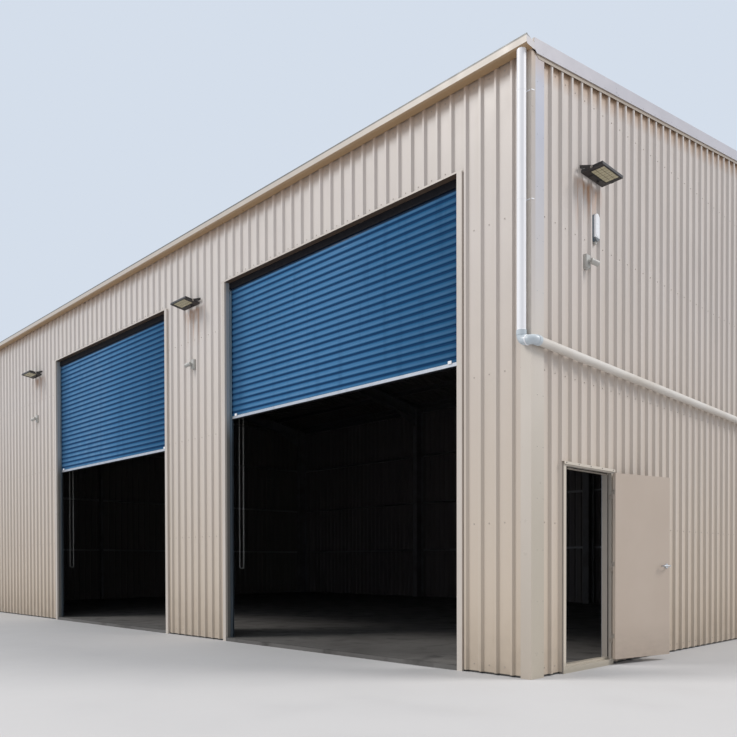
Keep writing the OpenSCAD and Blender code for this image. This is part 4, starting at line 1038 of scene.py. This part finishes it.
# %% [markdown]
# A barge cap is a folded box, open at its lower end. A small plate closes each end, so that
# rain can't blow in and no camera looks into it. It could be drawn from the roof's measures,
# but taking its height from the cap's own mesh keeps the two together.

# %% Barge end plates
PLATE_X, PLATE_Y = HALF_LENGTH + 0.020, HALF_WIDTH + 0.001
PLATE_W, PLATE_T, PLATE_EASE = 0.052, 0.0016, 0.002
bm = bmesh.new()
for cap, x_way in (("right_barge_cap", 1), ("left_barge_cap", -1)):
    for y_way in (-1, 1):
        ends = [v.co.z for v in nodes[cap].data.vertices if v.co.y * y_way > HALF_WIDTH - 0.001]
        low, high = min(ends), max(ends)
        place = shift(x_way * PLATE_X, y_way * PLATE_Y, (low + high) / 2)
        block(bm, place, (PLATE_W, PLATE_T, high - low - PLATE_EASE))
        print(cap, y_way, "end from", round(low, 3), "to", round(high, 3))
finish_piece("barge_ends", bm, PAINTS["barge"])

# %% [markdown]
# Wall sheets come about 760 mm wide, four ribs each, and lap over the next by one rib. The
# edge of the upper sheet shows as a fine lip at the foot of every fourth rib. It is a small
# thing, but it tells the eye that the wall is made of sheets. A dark line in the paint would
# look printed on, and a lip of 1.2 mm catches the light as the real edge does.

# %% Lap edges of the sheets
LAP_EVERY = 4
LAP_W, LAP_T = 0.004, 0.0012
RIB_FOOT = 0.0345
SHEET_FOOT, SHEET_TOP = 0.022, 6.012
TRIM_REACH, ABOVE_SHUTTER = 0.07, 5.195
DOOR_SPAN, ABOVE_DOOR = (0.50, 1.585), 2.155
CORNER_LEG = 0.1
bm = bmesh.new()
laps = 0
for wall, length in WALL_LENGTH.items():
    for rib in range(2, rib_count(wall) + 1, LAP_EVERY):
        s = FIRST_RIB[wall] + RIB_PITCH * rib + RIB_FOOT
        if s > length - CORNER_LEG:
            continue
        foot = SHEET_FOOT
        if wall == "front" and any(near - TRIM_REACH < s < far + TRIM_REACH
                                   for near, far in OPENINGS):
            foot = ABOVE_SHUTTER
        if wall == "right" and DOOR_SPAN[0] < s < DOOR_SPAN[1]:
            foot = ABOVE_DOOR
        middle = facing(wall, s, LAP_T / 2, (SHEET_TOP + foot) / 2)
        block(bm, middle, (LAP_W, LAP_T, SHEET_TOP - foot))
        laps += 1
finish_piece("sheet_laps", bm, PAINTS["flashing"])
print("laps:", laps)

# %% [markdown]
# A roller door's curtain is one sheet of steel rolled into soft bulges with sharp grooves
# between them. Light from above grazes each bulge and leaves the groove black, which is what
# makes the door read from afar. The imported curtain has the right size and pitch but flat
# faces, so it is replaced: a fine grid is laid along the curtain's path, up the guides and
# back to the roll, and each row is pushed in by the wave. Solidify then gives it two sides.

# %% Corrugated curtains
CURTAIN_FOOT = (3.247, 2.992)
GUIDE_TOP = 5.055
CURTAIN_IN = 0.057
CURTAIN_EDGE = 0.009
SLAT_DEPTH = 0.012
GROOVE_RISE = 0.056
GROOVE_SHARPNESS = 2.2
ROWS_PER_SLAT = 8
LEAN, LEAN_RUN = math.radians(11.56), 0.2022
CURTAIN_T = 0.0012


def groove(height):
    """How far a place on the curtain lies behind the crests of the bulges"""
    across = (height / SLAT_PITCH) % 1.0
    return SLAT_DEPTH * abs(2 * across - 1) ** GROOVE_SHARPNESS


curtain_bm = bmesh.new()
for (near, far), foot in zip(OPENINGS, CURTAIN_FOOT):
    straight = GUIDE_TOP - foot
    rows = int((straight + LEAN_RUN) / SLAT_PITCH * ROWS_PER_SLAT)
    bm = bmesh.new()
    bmesh.ops.create_grid(bm, x_segments=1, y_segments=rows, size=0.5)
    width = far - near - 2 * CURTAIN_EDGE
    for vert in bm.verts:
        run = (vert.co.y + 0.5) * (straight + LEAN_RUN)
        over = max(0.0, run - straight)
        behind = groove(run - GROOVE_RISE)
        inwards = CURTAIN_IN + behind * math.cos(LEAN) + over * math.sin(LEAN)
        height = foot + min(run, straight) + over * math.cos(LEAN)
        s = (near + far) / 2 + vert.co.x * width
        vert.co = spot("front", s, -inwards, height)
    bmesh.ops.solidify(bm, geom=bm.faces[:], thickness=CURTAIN_T)
    bmesh.ops.recalc_face_normals(bm, faces=bm.faces[:])
    mesh = pattern_of(bm, "one curtain")
    curtain_bm.from_mesh(mesh)
    bpy.data.meshes.remove(mesh)
curtains = finish_piece("corrugated_curtains", curtain_bm, PAINTS["shutter_steel"],
                        smooth=True)
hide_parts("shutter_curtains")
print("curtain faces:", len(curtains.data.polygons))

# %% [markdown]
# The rolled part of the curtain keeps its bulges, so the roll is a drum with waves round it.
# Winding the curtain's grid into a spiral would be truer, but only the outer turn ever shows.
# A rod with many sides is made, and each side is drawn in by the wave at its angle.

# %% Curtain rolls
ROLL_R, ROLL_IN, ROLL_Z = 0.190, 0.298, 5.215
SLATS_ROUND, STEPS_ROUND = 14, 84
BRACKET_GAP, ROLL_END_GAP, AXLE_R = 0.045, 0.03, 0.025

rolls_bm = bmesh.new()
for near, far in OPENINGS:
    centre = facing("front", (near + far) / 2, -ROLL_IN, ROLL_Z)
    axle_length = far - near + 2 * BRACKET_GAP
    verts = rod(rolls_bm, centre @ ALONG, ROLL_R, axle_length - ROLL_END_GAP, STEPS_ROUND)
    for vert in verts:
        arm = Vector((0, vert.co.y, vert.co.z)) - Vector((0, centre.translation.y, ROLL_Z))
        wave = abs(math.sin(math.atan2(arm.z, arm.y) * SLATS_ROUND / 2)) ** 0.6
        vert.co -= arm.normalized() * SLAT_DEPTH * (1 - wave)
    rod(rolls_bm, centre @ ALONG, AXLE_R, axle_length, 24)
rolls = finish_piece("curtain_rolls", rolls_bm, PAINTS["shutter_steel"])
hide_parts("shutter_rolls")
print("roll faces:", len(rolls.data.polygons))

# %% [markdown]
# Below the curtain the aluminium bar carries a rubber seal, and two pale stops that keep the
# bar from running up into the head. A black brush seal hangs from the head and shuts the
# space in front of the curtain. It is also a dark strip put there to stand for the shade under
# the head. All are long eased blocks, as the real ones are cut from plain strip.

# %% Seals and stops
BAR_EDGE, BAR_MID_IN, BAR_H = 0.062, 0.064, 0.042
SEAL_SIZE, SEAL_DROP = (0.022, 0.013), 0.006
BRUSH_SHADE_IN, BRUSH_SHADE_DROP, BRUSH_SHADE_SIZE = 0.0535, 0.048, (0.004, 0.09)
STOP_SIZE, STOP_IN, STOP_RISE, STOP_INSET = (0.050, 0.012, 0.034), 0.050, 0.010, 0.10

seal_bm = bmesh.new()
stop_bm = bmesh.new()
for (near, far), foot in zip(OPENINGS, CURTAIN_FOOT):
    middle = (near + far) / 2
    bar_foot = foot - BAR_H
    low = facing("front", middle, -BAR_MID_IN, bar_foot - SEAL_DROP)
    ease(seal_bm, block(seal_bm, low, (far - near - 2 * BAR_EDGE, *SEAL_SIZE)), 0.004)
    # A black strip under the head: a brush seal that also stands for the shade there
    high = facing("front", middle, -BRUSH_SHADE_IN, HEAD_Z - BRUSH_SHADE_DROP)
    block(seal_bm, high, (far - near - 0.01, *BRUSH_SHADE_SIZE))
    for s in (near + BAR_EDGE + STOP_INSET, far - BAR_EDGE - STOP_INSET):
        stop = facing("front", s, -STOP_IN, foot + STOP_RISE)
        ease(stop_bm, block(stop_bm, stop, STOP_SIZE), 0.004)
finish_piece("curtain_seals", seal_bm, rubber)
finish_piece("bar_stops", stop_bm, PAINTS["pipe_white"])
print("seals and stops made")

# %% [markdown]
# One link of the hand chain is a ring of wire, stretched. A small circle is spun round an axis
# for the ring, and scaling it along one way makes it long. The wire gets thinner at the sides
# than at the ends by that, but at 4 mm nobody can tell.

# %% One chain link
LINK_WIRE, LINK_R, LINK_STRETCH = 0.0022, 0.0085, 1.75

bm = bmesh.new()
ring_place = shift(LINK_R, 0, 0) @ Matrix.Rotation(math.radians(90), 4, "X")
bmesh.ops.create_circle(bm, segments=5, radius=LINK_WIRE, matrix=ring_place)
bmesh.ops.spin(bm, geom=bm.verts[:] + bm.edges[:], cent=(0, 0, 0), axis=(0, 0, 1),
               angle=math.tau, steps=8, use_merge=True)
bmesh.ops.scale(bm, vec=(1, LINK_STRETCH, 1), verts=bm.verts[:])
bmesh.ops.rotate(bm, cent=(0, 0, 0), matrix=Matrix.Rotation(math.radians(90), 3, "X"),
                 verts=bm.verts[:])
bmesh.ops.recalc_face_normals(bm, faces=bm.faces[:])
link = pattern_of(bm, "chain link")
print("faces of a link:", len(link.polygons))

# %% [markdown]
# The hand chain is endless: two runs of links from a wheel on the axle down to a loop at chest
# height. A tube with a chain texture would look flat up close. Links are stamped one by one,
# and each is turned by a quarter against its neighbours, as links lie in a real chain.

# %% Hand chains
LINK_STEP = 0.0262
CHAIN_OFFSET, CHAIN_LOW, CHAIN_HALF_GAP = 0.065, 1.05, 0.035
LINKS_IN_TURN = 4

links_bm = bmesh.new()
quarter = Matrix.Rotation(math.radians(90), 4, "Z")
turn = CHAIN_LOW + CHAIN_HALF_GAP
run_links = int((ROLL_Z - turn) / LINK_STEP)
for near, far in OPENINGS:
    s = far + CHAIN_OFFSET
    places = []
    for side in (-1, 1):
        inwards = -ROLL_IN + side * CHAIN_HALF_GAP
        for i in range(run_links):
            upright = facing("front", s, inwards, turn + LINK_STEP * (i + 0.5))
            places.append(upright @ quarter if i % 2 else upright)
    for i in range(LINKS_IN_TURN):
        angle = math.pi * (i + 0.5) / LINKS_IN_TURN
        low = facing("front", s, -ROLL_IN, turn) @ Matrix.Rotation(angle + math.pi, 4, "X")
        placed = low @ shift(0, CHAIN_HALF_GAP, 0)
        places.append(placed @ quarter if i % 2 else placed)
    stamp(links_bm, link, places)
chain = finish_piece("chain_links", links_bm, PAINTS["chain_steel"], smooth=True)
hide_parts("hand_chains")
print("links in a run:", run_links, "chain faces:", len(chain.data.polygons))

# %% [markdown]
# The wheel over which the chain runs is a hub between two rims. Its pockets for the links are
# hidden by the links themselves, so three rods in a row stand for it, and only the rims, which
# catch the light, get eased edges.

# %% Chain wheels
HUB_R, HUB_W, RIM_R, RIM_T, RIM_OUT = 0.031, 0.020, 0.035, 0.003, 0.0085
wheel_bm = bmesh.new()
for near, far in OPENINGS:
    wheel = facing("front", far + CHAIN_OFFSET, -ROLL_IN, ROLL_Z) @ ALONG
    rod(wheel_bm, wheel, HUB_R, HUB_W, 24)
    for way in (-1, 1):
        rim = rod(wheel_bm, wheel @ shift(0, 0, way * RIM_OUT), RIM_R, RIM_T, 24)
        ease(wheel_bm, rim, 0.0008, 1)
finish_piece("chain_wheels", wheel_bm, PAINTS["chain_steel"])
print("chain wheels:", len(OPENINGS))

# %% [markdown]
# Behind a floodlight's clear cover lies a board with rows of moulded lenses. A bump map would
# do for one tile, but the low light under the lamp shows each dome's edge, so every tile is an
# eased block with two flat domes. The face has a rim of its own, proud of the housing. Both
# are drawn in the head's own frame: X along the wall, Y outwards, Z up, tilted with the head.

# %% Diode boards and rims
FLOOD_W, FLOOD_T = 0.432, 0.028
LENS_W, LENS_D, LENS_Y = 0.320, 0.150, 0.0315
DIODE_COLUMNS, DIODE_ROWS = 6, 3
TILE_SIZE = (0.047, 0.044, 0.002)
DOME_STEP, DOME_R, DOME_TOP_R, DOME_H = 0.012, 0.0100, 0.0060, 0.0014
RIM_W = 0.008


def diode_board(bm, head):
    for column in range(DIODE_COLUMNS):
        for row in range(DIODE_ROWS):
            x = LENS_W * ((column + 0.5) / DIODE_COLUMNS - 0.5)
            y = LENS_Y + LENS_D * ((row + 0.5) / DIODE_ROWS - 0.5)
            tile = block(bm, head @ shift(x, y, -FLOOD_T / 2 + 0.0013), TILE_SIZE)
            ease(bm, tile, 0.0008, 1)
            for step in (-DOME_STEP, DOME_STEP):
                dome = shift(x + step, y, -FLOOD_T / 2 - 0.0002) @ Matrix.Rotation(math.pi, 4, "X")
                rod(bm, head @ dome, DOME_R, DOME_H, 12, DOME_TOP_R)


def face_rim(bm, head, way):
    sides = ((way * (LENS_W / 2 + RIM_W / 2), LENS_Y, RIM_W, LENS_D + 2 * RIM_W),
             (0, LENS_Y + way * (LENS_D / 2 + RIM_W / 2), LENS_W, RIM_W))
    for x, y, wide, deep in sides:
        rim = block(bm, head @ shift(x, y, -FLOOD_T / 2 - 0.001), (wide, deep, 0.004))
        ease(bm, rim, 0.001, 1)


print("tiles on a board:", DIODE_COLUMNS * DIODE_ROWS)

# %% [markdown]
# Hexagon bolts clamp the head in its stirrup, and two more hold the stirrup to the wall. The
# lead enters through a gland in a small box on the head. Cut threads and hollow glands would
# be lost at this size, so they are washers, hexagons and blocks. The bolts are drawn in a
# frame that doesn't tilt with the head, because the stirrup stands still.

# %% Bolts and lead entry
FLOOD_OUT = 0.1635
FOOT_OUT, FOOT_X, FOOT_RISE = 0.036, 0.15, 0.051
BOX_Y, GLAND_X = -0.082, -0.055


def clamp_bolts(bm, still, way):
    bolt = still @ shift(way * (FLOOD_W / 2 + 0.006), 0, 0) @ ALONG
    rod(bm, bolt, 0.0150, 0.0022, 16)
    rod(bm, bolt @ shift(0, 0, way * 0.0045), 0.0105, 0.008, 6)
    screw = still @ shift(way * FOOT_X, -FLOOD_OUT + FOOT_OUT, FOOT_RISE) @ OUTWARDS
    rod(bm, screw, 0.0110, 0.0022, 16)
    rod(bm, screw @ shift(0, 0, 0.004), 0.0075, 0.006, 6)


def lead_entry(bm, head):
    gland = head @ shift(GLAND_X, BOX_Y, -FLOOD_T / 2 - 0.004)
    rod(bm, gland, 0.0150, 0.010, 6)
    rod(bm, gland @ shift(0, 0, -0.012), 0.0115, 0.016, 16, 0.0125)
    box = head @ shift(0, BOX_Y, -FLOOD_T / 2 - 0.003)
    ease(bm, block(bm, box, (0.19, 0.056, 0.008)), 0.0025)


print("floodlight parts ready")

# %% [markdown]
# All three floodlights are the same model, but their heads aren't tilted by the same angle.
# Linked copies would mean three objects for each finish. One loop draws the parts at each
# lamp's own tilt instead, into one mesh for each finish.

# %% Floodlights
LAMPS = [("right", GABLE_FLOOD_S, GABLE_FLOOD_Z, 2)]
LAMPS += [("front", s, FRONT_FLOOD_Z, 8) for s in FRONT_FLOOD_S]

lens_bm = bmesh.new()
trim_bm = bmesh.new()
bolt_bm = bmesh.new()
for wall, s, z, tilt in LAMPS:
    still = facing(wall, s, FLOOD_OUT, z)
    head = still @ Matrix.Rotation(math.radians(tilt), 4, "X")
    diode_board(lens_bm, head)
    for way in (-1, 1):
        face_rim(trim_bm, head, way)
        clamp_bolts(bolt_bm, still, way)
    lead_entry(trim_bm, head)
diode_paint = plain_paint("moulded diode lenses", (0.50, 0.46, 0.31), 0.18,
                          (0.42, 0.38, 0.24), 40.0)
finish_piece("diode_lenses", lens_bm, diode_paint)
finish_piece("floodlight_trims", trim_bm, PAINTS["lamp_black"])
finish_piece("floodlight_bolts", bolt_bm, screw_steel)
print("floodlights dressed:", len(LAMPS))

# %% [markdown]
# A sensor's drum looks out through a dark lens, and a seam runs round it where its two halves
# meet. Its back box has a lid and a gland. The drum looks along and down the wall, so its own
# axis is worked out first, and everything on it is a rod along that axis.

# %% Sensors
SENSORS = (("right", 1.00775, 4.288), ("front", 6.01425, 4.152), ("front", 12.11025, 4.152))
SENSOR_D, NECK_L = 0.045, 0.030
DRUM_R, DRUM_L = 0.030, 0.095
DRUM_SIDEWAYS, DRUM_DOWN = math.radians(25), math.radians(105)
LID_SIZE = (0.080, 0.004, 0.134)

lens_bm = bmesh.new()
seam_bm = bmesh.new()
drum_turn = Matrix.Rotation(DRUM_SIDEWAYS, 4, "Z") @ Matrix.Rotation(DRUM_DOWN, 4, "Y")
way = drum_turn @ Vector((0, 0, 1))
for wall, s, z in SENSORS:
    _, along, outward = WALLS[wall]
    axis = (along * way.x + outward * way.y + UP * way.z).normalized()
    start = spot(wall, s, SENSOR_D + NECK_L, z)
    turned = axis.to_track_quat("Z", "Y").to_matrix().to_4x4()
    tip = Matrix.Translation(start + axis * (DRUM_L + 0.003)) @ turned
    rod(lens_bm, tip, DRUM_R * 0.82, 0.008, 20, DRUM_R * 0.55)
    for reach in (0.030, 0.090):
        ring = Matrix.Translation(start + axis * reach) @ turned
        ease(seam_bm, rod(seam_bm, ring, DRUM_R + 0.0015, 0.006, 24), 0.0012, 1)
    lid = facing(wall, s, SENSOR_D + 0.001, z)
    ease(seam_bm, block(seam_bm, lid, LID_SIZE), 0.0015, 1)
    knuckle = facing(wall, s, SENSOR_D + NECK_L * 0.5, z) @ OUTWARDS
    rod(seam_bm, knuckle, 0.0165, 0.012, 12)
    gland = facing(wall, s, SENSOR_D / 2, z - 0.078)
    rod(seam_bm, gland, 0.0095, 0.018, 12)
finish_piece("sensor_lenses", lens_bm, dark_lens)
finish_piece("sensor_fittings", seam_bm, PAINTS["sensor_plastic"])
print("sensors dressed:", len(SENSORS))

# %% [markdown]
# The base and the cover of the long wall lamp have the same outline: an oval with straight
# sides. A scaled cylinder would flatten its ends. A circle whose two halves are moved apart
# keeps them round, then extrude gives the depth and bevel rounds the front edge.

# %% Long oval
def long_oval(bm, place, width, height, depth, edge):
    circle = bmesh.ops.create_circle(bm, cap_ends=True, segments=32, radius=width / 2)["verts"]
    for vert in circle:
        vert.co.y += math.copysign((height - width) / 2, vert.co.y)
    face = circle[0].link_faces[0]
    risen = bmesh.ops.extrude_face_region(bm, geom=[face])["geom"]
    top = [part for part in risen if isinstance(part, bmesh.types.BMVert)]
    bmesh.ops.translate(bm, vec=(0, 0, depth), verts=top)
    rim = [part for part in risen if isinstance(part, bmesh.types.BMEdge)]
    bmesh.ops.bevel(bm, geom=rim, offset=edge, offset_type="OFFSET", affect="EDGES", segments=3,
                    profile=0.5, material=-1)
    bmesh.ops.transform(bm, matrix=place, verts=bm.verts[:])
    bmesh.ops.recalc_face_normals(bm, faces=bm.faces[:])


print("oval tool ready")

# %% [markdown]
# The lamp has a dark base against the wall, a white cover in front and a small grey entry at
# its foot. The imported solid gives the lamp's body, and the three pieces lie on it. The cover
# is shorter than the base and sits higher on it, which leaves the foot of the base in sight.

# %% Wall lamp
LAMP_S, LAMP_Z = 1.19825, 4.700
LAMP_W, LAMP_H = 0.092, 0.290
BASE_LIP, BASE_D = 0.004, 0.026
COVER_RISE, COVER_OUT, COVER_D = 0.0165, 0.038, 0.011

lamp_place = facing("right", LAMP_S, 0.0005, LAMP_Z) @ OUTWARDS
bm = bmesh.new()
long_oval(bm, lamp_place, LAMP_W + BASE_LIP, LAMP_H + BASE_LIP, BASE_D, 0.002)
finish_piece("wall_lamp_base", bm, PAINTS["guide_steel"])
bm = bmesh.new()
cover_place = lamp_place @ shift(0, -COVER_RISE, COVER_OUT)
long_oval(bm, cover_place, LAMP_W - 0.012, LAMP_H - 0.045, COVER_D, 0.005)
finish_piece("wall_lamp_cover", bm, PAINTS["lamp_white"])
bm = bmesh.new()
entry = facing("right", LAMP_S, 0.016, LAMP_Z - LAMP_H / 2 - 0.014)
ease(bm, block(bm, entry, (0.034, 0.030, 0.030)), 0.005)
finish_piece("wall_lamp_entry", bm, PAINTS["sensor_plastic"])
print("wall lamp dressed")

# %% [markdown]
# Pipes are pushed into sockets. Where the two bends of the corner meet and where the upright
# pipe goes in, a white ring shows. A torus would make a round bead of it. The real ring is a
# flat moulded collar, so it is a short rod with eased ends.

# %% Pipe rings
PIPE_X, PIPE_Y, PIPE_R = 8.954, -6.083, 0.045
BEND_X, BEND_Z = 9.0185, 3.248
SOCKET_ZS = (3.352, 3.345)
ring_bm = bmesh.new()
ring = shift(BEND_X, PIPE_Y, BEND_Z) @ ALONG
ease(ring_bm, rod(ring_bm, ring, 0.0520, 0.012, 40), 0.0015, 1)
for z in SOCKET_ZS:
    ease(ring_bm, rod(ring_bm, shift(PIPE_X, PIPE_Y, z + 0.002), 0.0478, 0.006, 40), 0.001, 1)
finish_piece("pipe_rings", ring_bm, PAINTS["pipe_white"], smooth=True)
print("rings:", 1 + len(SOCKET_ZS))

# %% [markdown]
# The downpipe is held by thin straps: a band round the pipe, a lug behind it, a flat tail
# along the wall and a hook that bends up round the corner. The solids' brackets are as thick
# as a solid has to be, so these thinner ones stand for them.

# %% Pipe straps
STRAP_H, TAIL_H = 0.018, 0.010
STRAP_ZS = (5.635, 4.602)
LUG_Y, TAIL_Y = -6.0385, -6.0335
HOOK_X, HOOK_Y, HOOK_RISE = 9.0335, -6.010, 0.005
BENT_UP = Matrix.Rotation(math.radians(14), 4, "X")
bm = bmesh.new()
places = []
for z in STRAP_ZS:
    rod(bm, shift(PIPE_X, PIPE_Y, z), PIPE_R + 0.0012, STRAP_H, 48)
    block(bm, shift(PIPE_X, LUG_Y, z), (0.022, 0.016, STRAP_H))
    block(bm, shift(PIPE_X + 0.004, TAIL_Y, z), (0.120, 0.003, TAIL_H))
    block(bm, shift(HOOK_X, HOOK_Y, z + HOOK_RISE) @ BENT_UP, (0.003, 0.050, TAIL_H))
    places.append(facing("front", HALF_LENGTH - PIPE_X + 0.036, 0.0350, z) @ OUTWARDS)
straps = finish_piece("pipe_straps", bm, PAINTS["pipe_white"])
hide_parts("pipe_brackets")
bm = bmesh.new()
stamp(bm, screw_head, places)
finish_piece("strap_screws", bm, screw_steel)
print("straps:", len(STRAP_ZS))

# %% [markdown]
# A gutter full of water pushes its front outwards. Flat straps across its mouth, one every
# 1.2 m, hold it together. An array modifier could repeat them, but two gutters would need
# two, so a loop sets a thin block at each step along both.

# %% Gutter straps
GUTTER_STRAPS, GUTTER_STRAP_STEP = 15, 1.2
GUTTER_OUT, GUTTER_MOUTH_Z = 0.082, 6.098
bm = bmesh.new()
for wall in ("front", "rear"):
    for step in range(GUTTER_STRAPS):
        s = 0.6 + GUTTER_STRAP_STEP * step
        block(bm, facing(wall, s, GUTTER_OUT, GUTTER_MOUTH_Z), (0.025, 0.094, 0.002))
finish_piece("gutter_straps", bm, screw_steel)
print("gutter straps:", 2 * GUTTER_STRAPS)

# %% [markdown]
# The door's small parts ride on what carries them. Seals, strike plate and the screws of the
# drip strip belong to the frame and stay with the building. A seal could be a soft tube, but
# it is squeezed by a millimetre only, so a narrow eased block in the rebate is enough.

# %% Fittings of the door frame
FRAME_NEAR, FRAME_FAR = 0.576, 1.509
LEVER_Z = 1.085
SEAL_OUT, SEAL_D = 0.0040, 0.0042
STRIKE_OUT = 0.026
bm = bmesh.new()
for s in (FRAME_NEAR + 0.006, FRAME_FAR - 0.006):
    ease(bm, block(bm, facing("right", s, SEAL_OUT, 1.09), (0.009, SEAL_D, 2.00)), 0.0012, 1)
head_seal = facing("right", (FRAME_NEAR + FRAME_FAR) / 2, SEAL_OUT, 2.104)
ease(bm, block(bm, head_seal, (FRAME_FAR - FRAME_NEAR - 0.03, SEAL_D, 0.008)), 0.0012, 1)
finish_piece("door_seals", bm, rubber)

bm = bmesh.new()
plate = facing("right", FRAME_NEAR + 0.0008, STRIKE_OUT, LEVER_Z)
ease(bm, block(bm, plate, (0.0016, 0.026, 0.11)), 0.0005, 1)
for z in (LEVER_Z - 0.042, LEVER_Z + 0.042):
    rod(bm, facing("right", FRAME_NEAR + 0.0020, STRIKE_OUT, z) @ ALONG, 0.0042, 0.0016, 12)
finish_piece("strike_plate", bm, PAINTS["aluminium_bar"])

bm = bmesh.new()
drip_places = [facing("right", 0.56 + 0.24 * step, 0.060, 2.139) @ OUTWARDS for step in range(5)]
stamp(bm, screw_head, drip_places)
finish_piece("drip_screws", bm, screw_steel)
print("frame fittings placed, drip screws:", len(drip_places))

# %% [markdown]
# The lock's faceplate and the screws of the leaf's hinges belong to the leaf. They are placed
# where they are when the leaf is shut, then turned about the hinge line by the angle at which
# the door stands open, and ride on the door. So the measures stay square to the wall, and the
# parts still follow the leaf at every angle.

# %% Fittings of the door leaf
HINGE = Vector((9.053, -4.4935, 0))
OPEN_ANGLE = math.radians(167)
SWING = Matrix.Rotation(OPEN_ANGLE, 4, "Z")
OPENED = Matrix.Translation(HINGE) @ SWING @ Matrix.Translation(-HINGE)
LEAF_NEAR, LEAF_FAR = 0.584, 1.504
HINGE_ZS = (0.295, 1.085, 1.875)


def on_leaf(s, out, z):
    return OPENED @ facing("right", s, out, z)


bm = bmesh.new()
faceplate = on_leaf(LEAF_NEAR - 0.0006, STRIKE_OUT, LEVER_Z - 0.03)
ease(bm, block(bm, faceplate, (0.0016, 0.022, 0.22)), 0.0005, 1)
rod(bm, on_leaf(LEAF_NEAR - 0.0020, STRIKE_OUT, LEVER_Z) @ ALONG, 0.0070, 0.0036, 12)
finish_piece("lock_faceplate", bm, PAINTS["lever_metal"], body="door")

bm = bmesh.new()
for z in HINGE_ZS:
    for rise in (0.012, 0.036):
        rod(bm, on_leaf(LEAF_FAR + 0.0022, 0.028, z + rise) @ ALONG, 0.0040, 0.0012, 10)
finish_piece("leaf_hinge_screws", bm, PAINTS["hinge_steel"], body="door")
print("leaf fittings placed, hinges:", len(HINGE_ZS))

# %% [markdown]
# Each portal column stands on a base plate held by four anchor bolts. The plates only show
# from inside, but without them the columns would seem to float on the slab. A plate is a
# block, and an anchor is a hexagon with a thinner rod standing out of it. Mirroring one wall's
# plates would do as well, but the same loop can measure along either wall.

# %% Column base plates
FRAME_SS = (0.1855, 6.015, 12.000, 17.8145)
SLAB_TOP = 0.050
PLATE_IN, PLATE_SIZE = 0.2700, (0.200, 0.330, 0.012)
bm = bmesh.new()
for wall in ("front", "rear"):
    for s in FRAME_SS:
        s = s if wall == "front" else WALL_LENGTH["rear"] - s
        base = facing(wall, s, -PLATE_IN, SLAB_TOP + PLATE_SIZE[2] / 2)
        block(bm, base, PLATE_SIZE)
        for x in (-0.055, 0.055):
            for y in (-0.075, 0.075):
                rod(bm, base @ shift(x, y, 0.014), 0.0150, 0.016, 6)
                rod(bm, base @ shift(x, y, 0.030), 0.0090, 0.048, 10)
finish_piece("column_bases", bm, PAINTS["frame_steel"])
print("bases:", 2 * len(FRAME_SS))
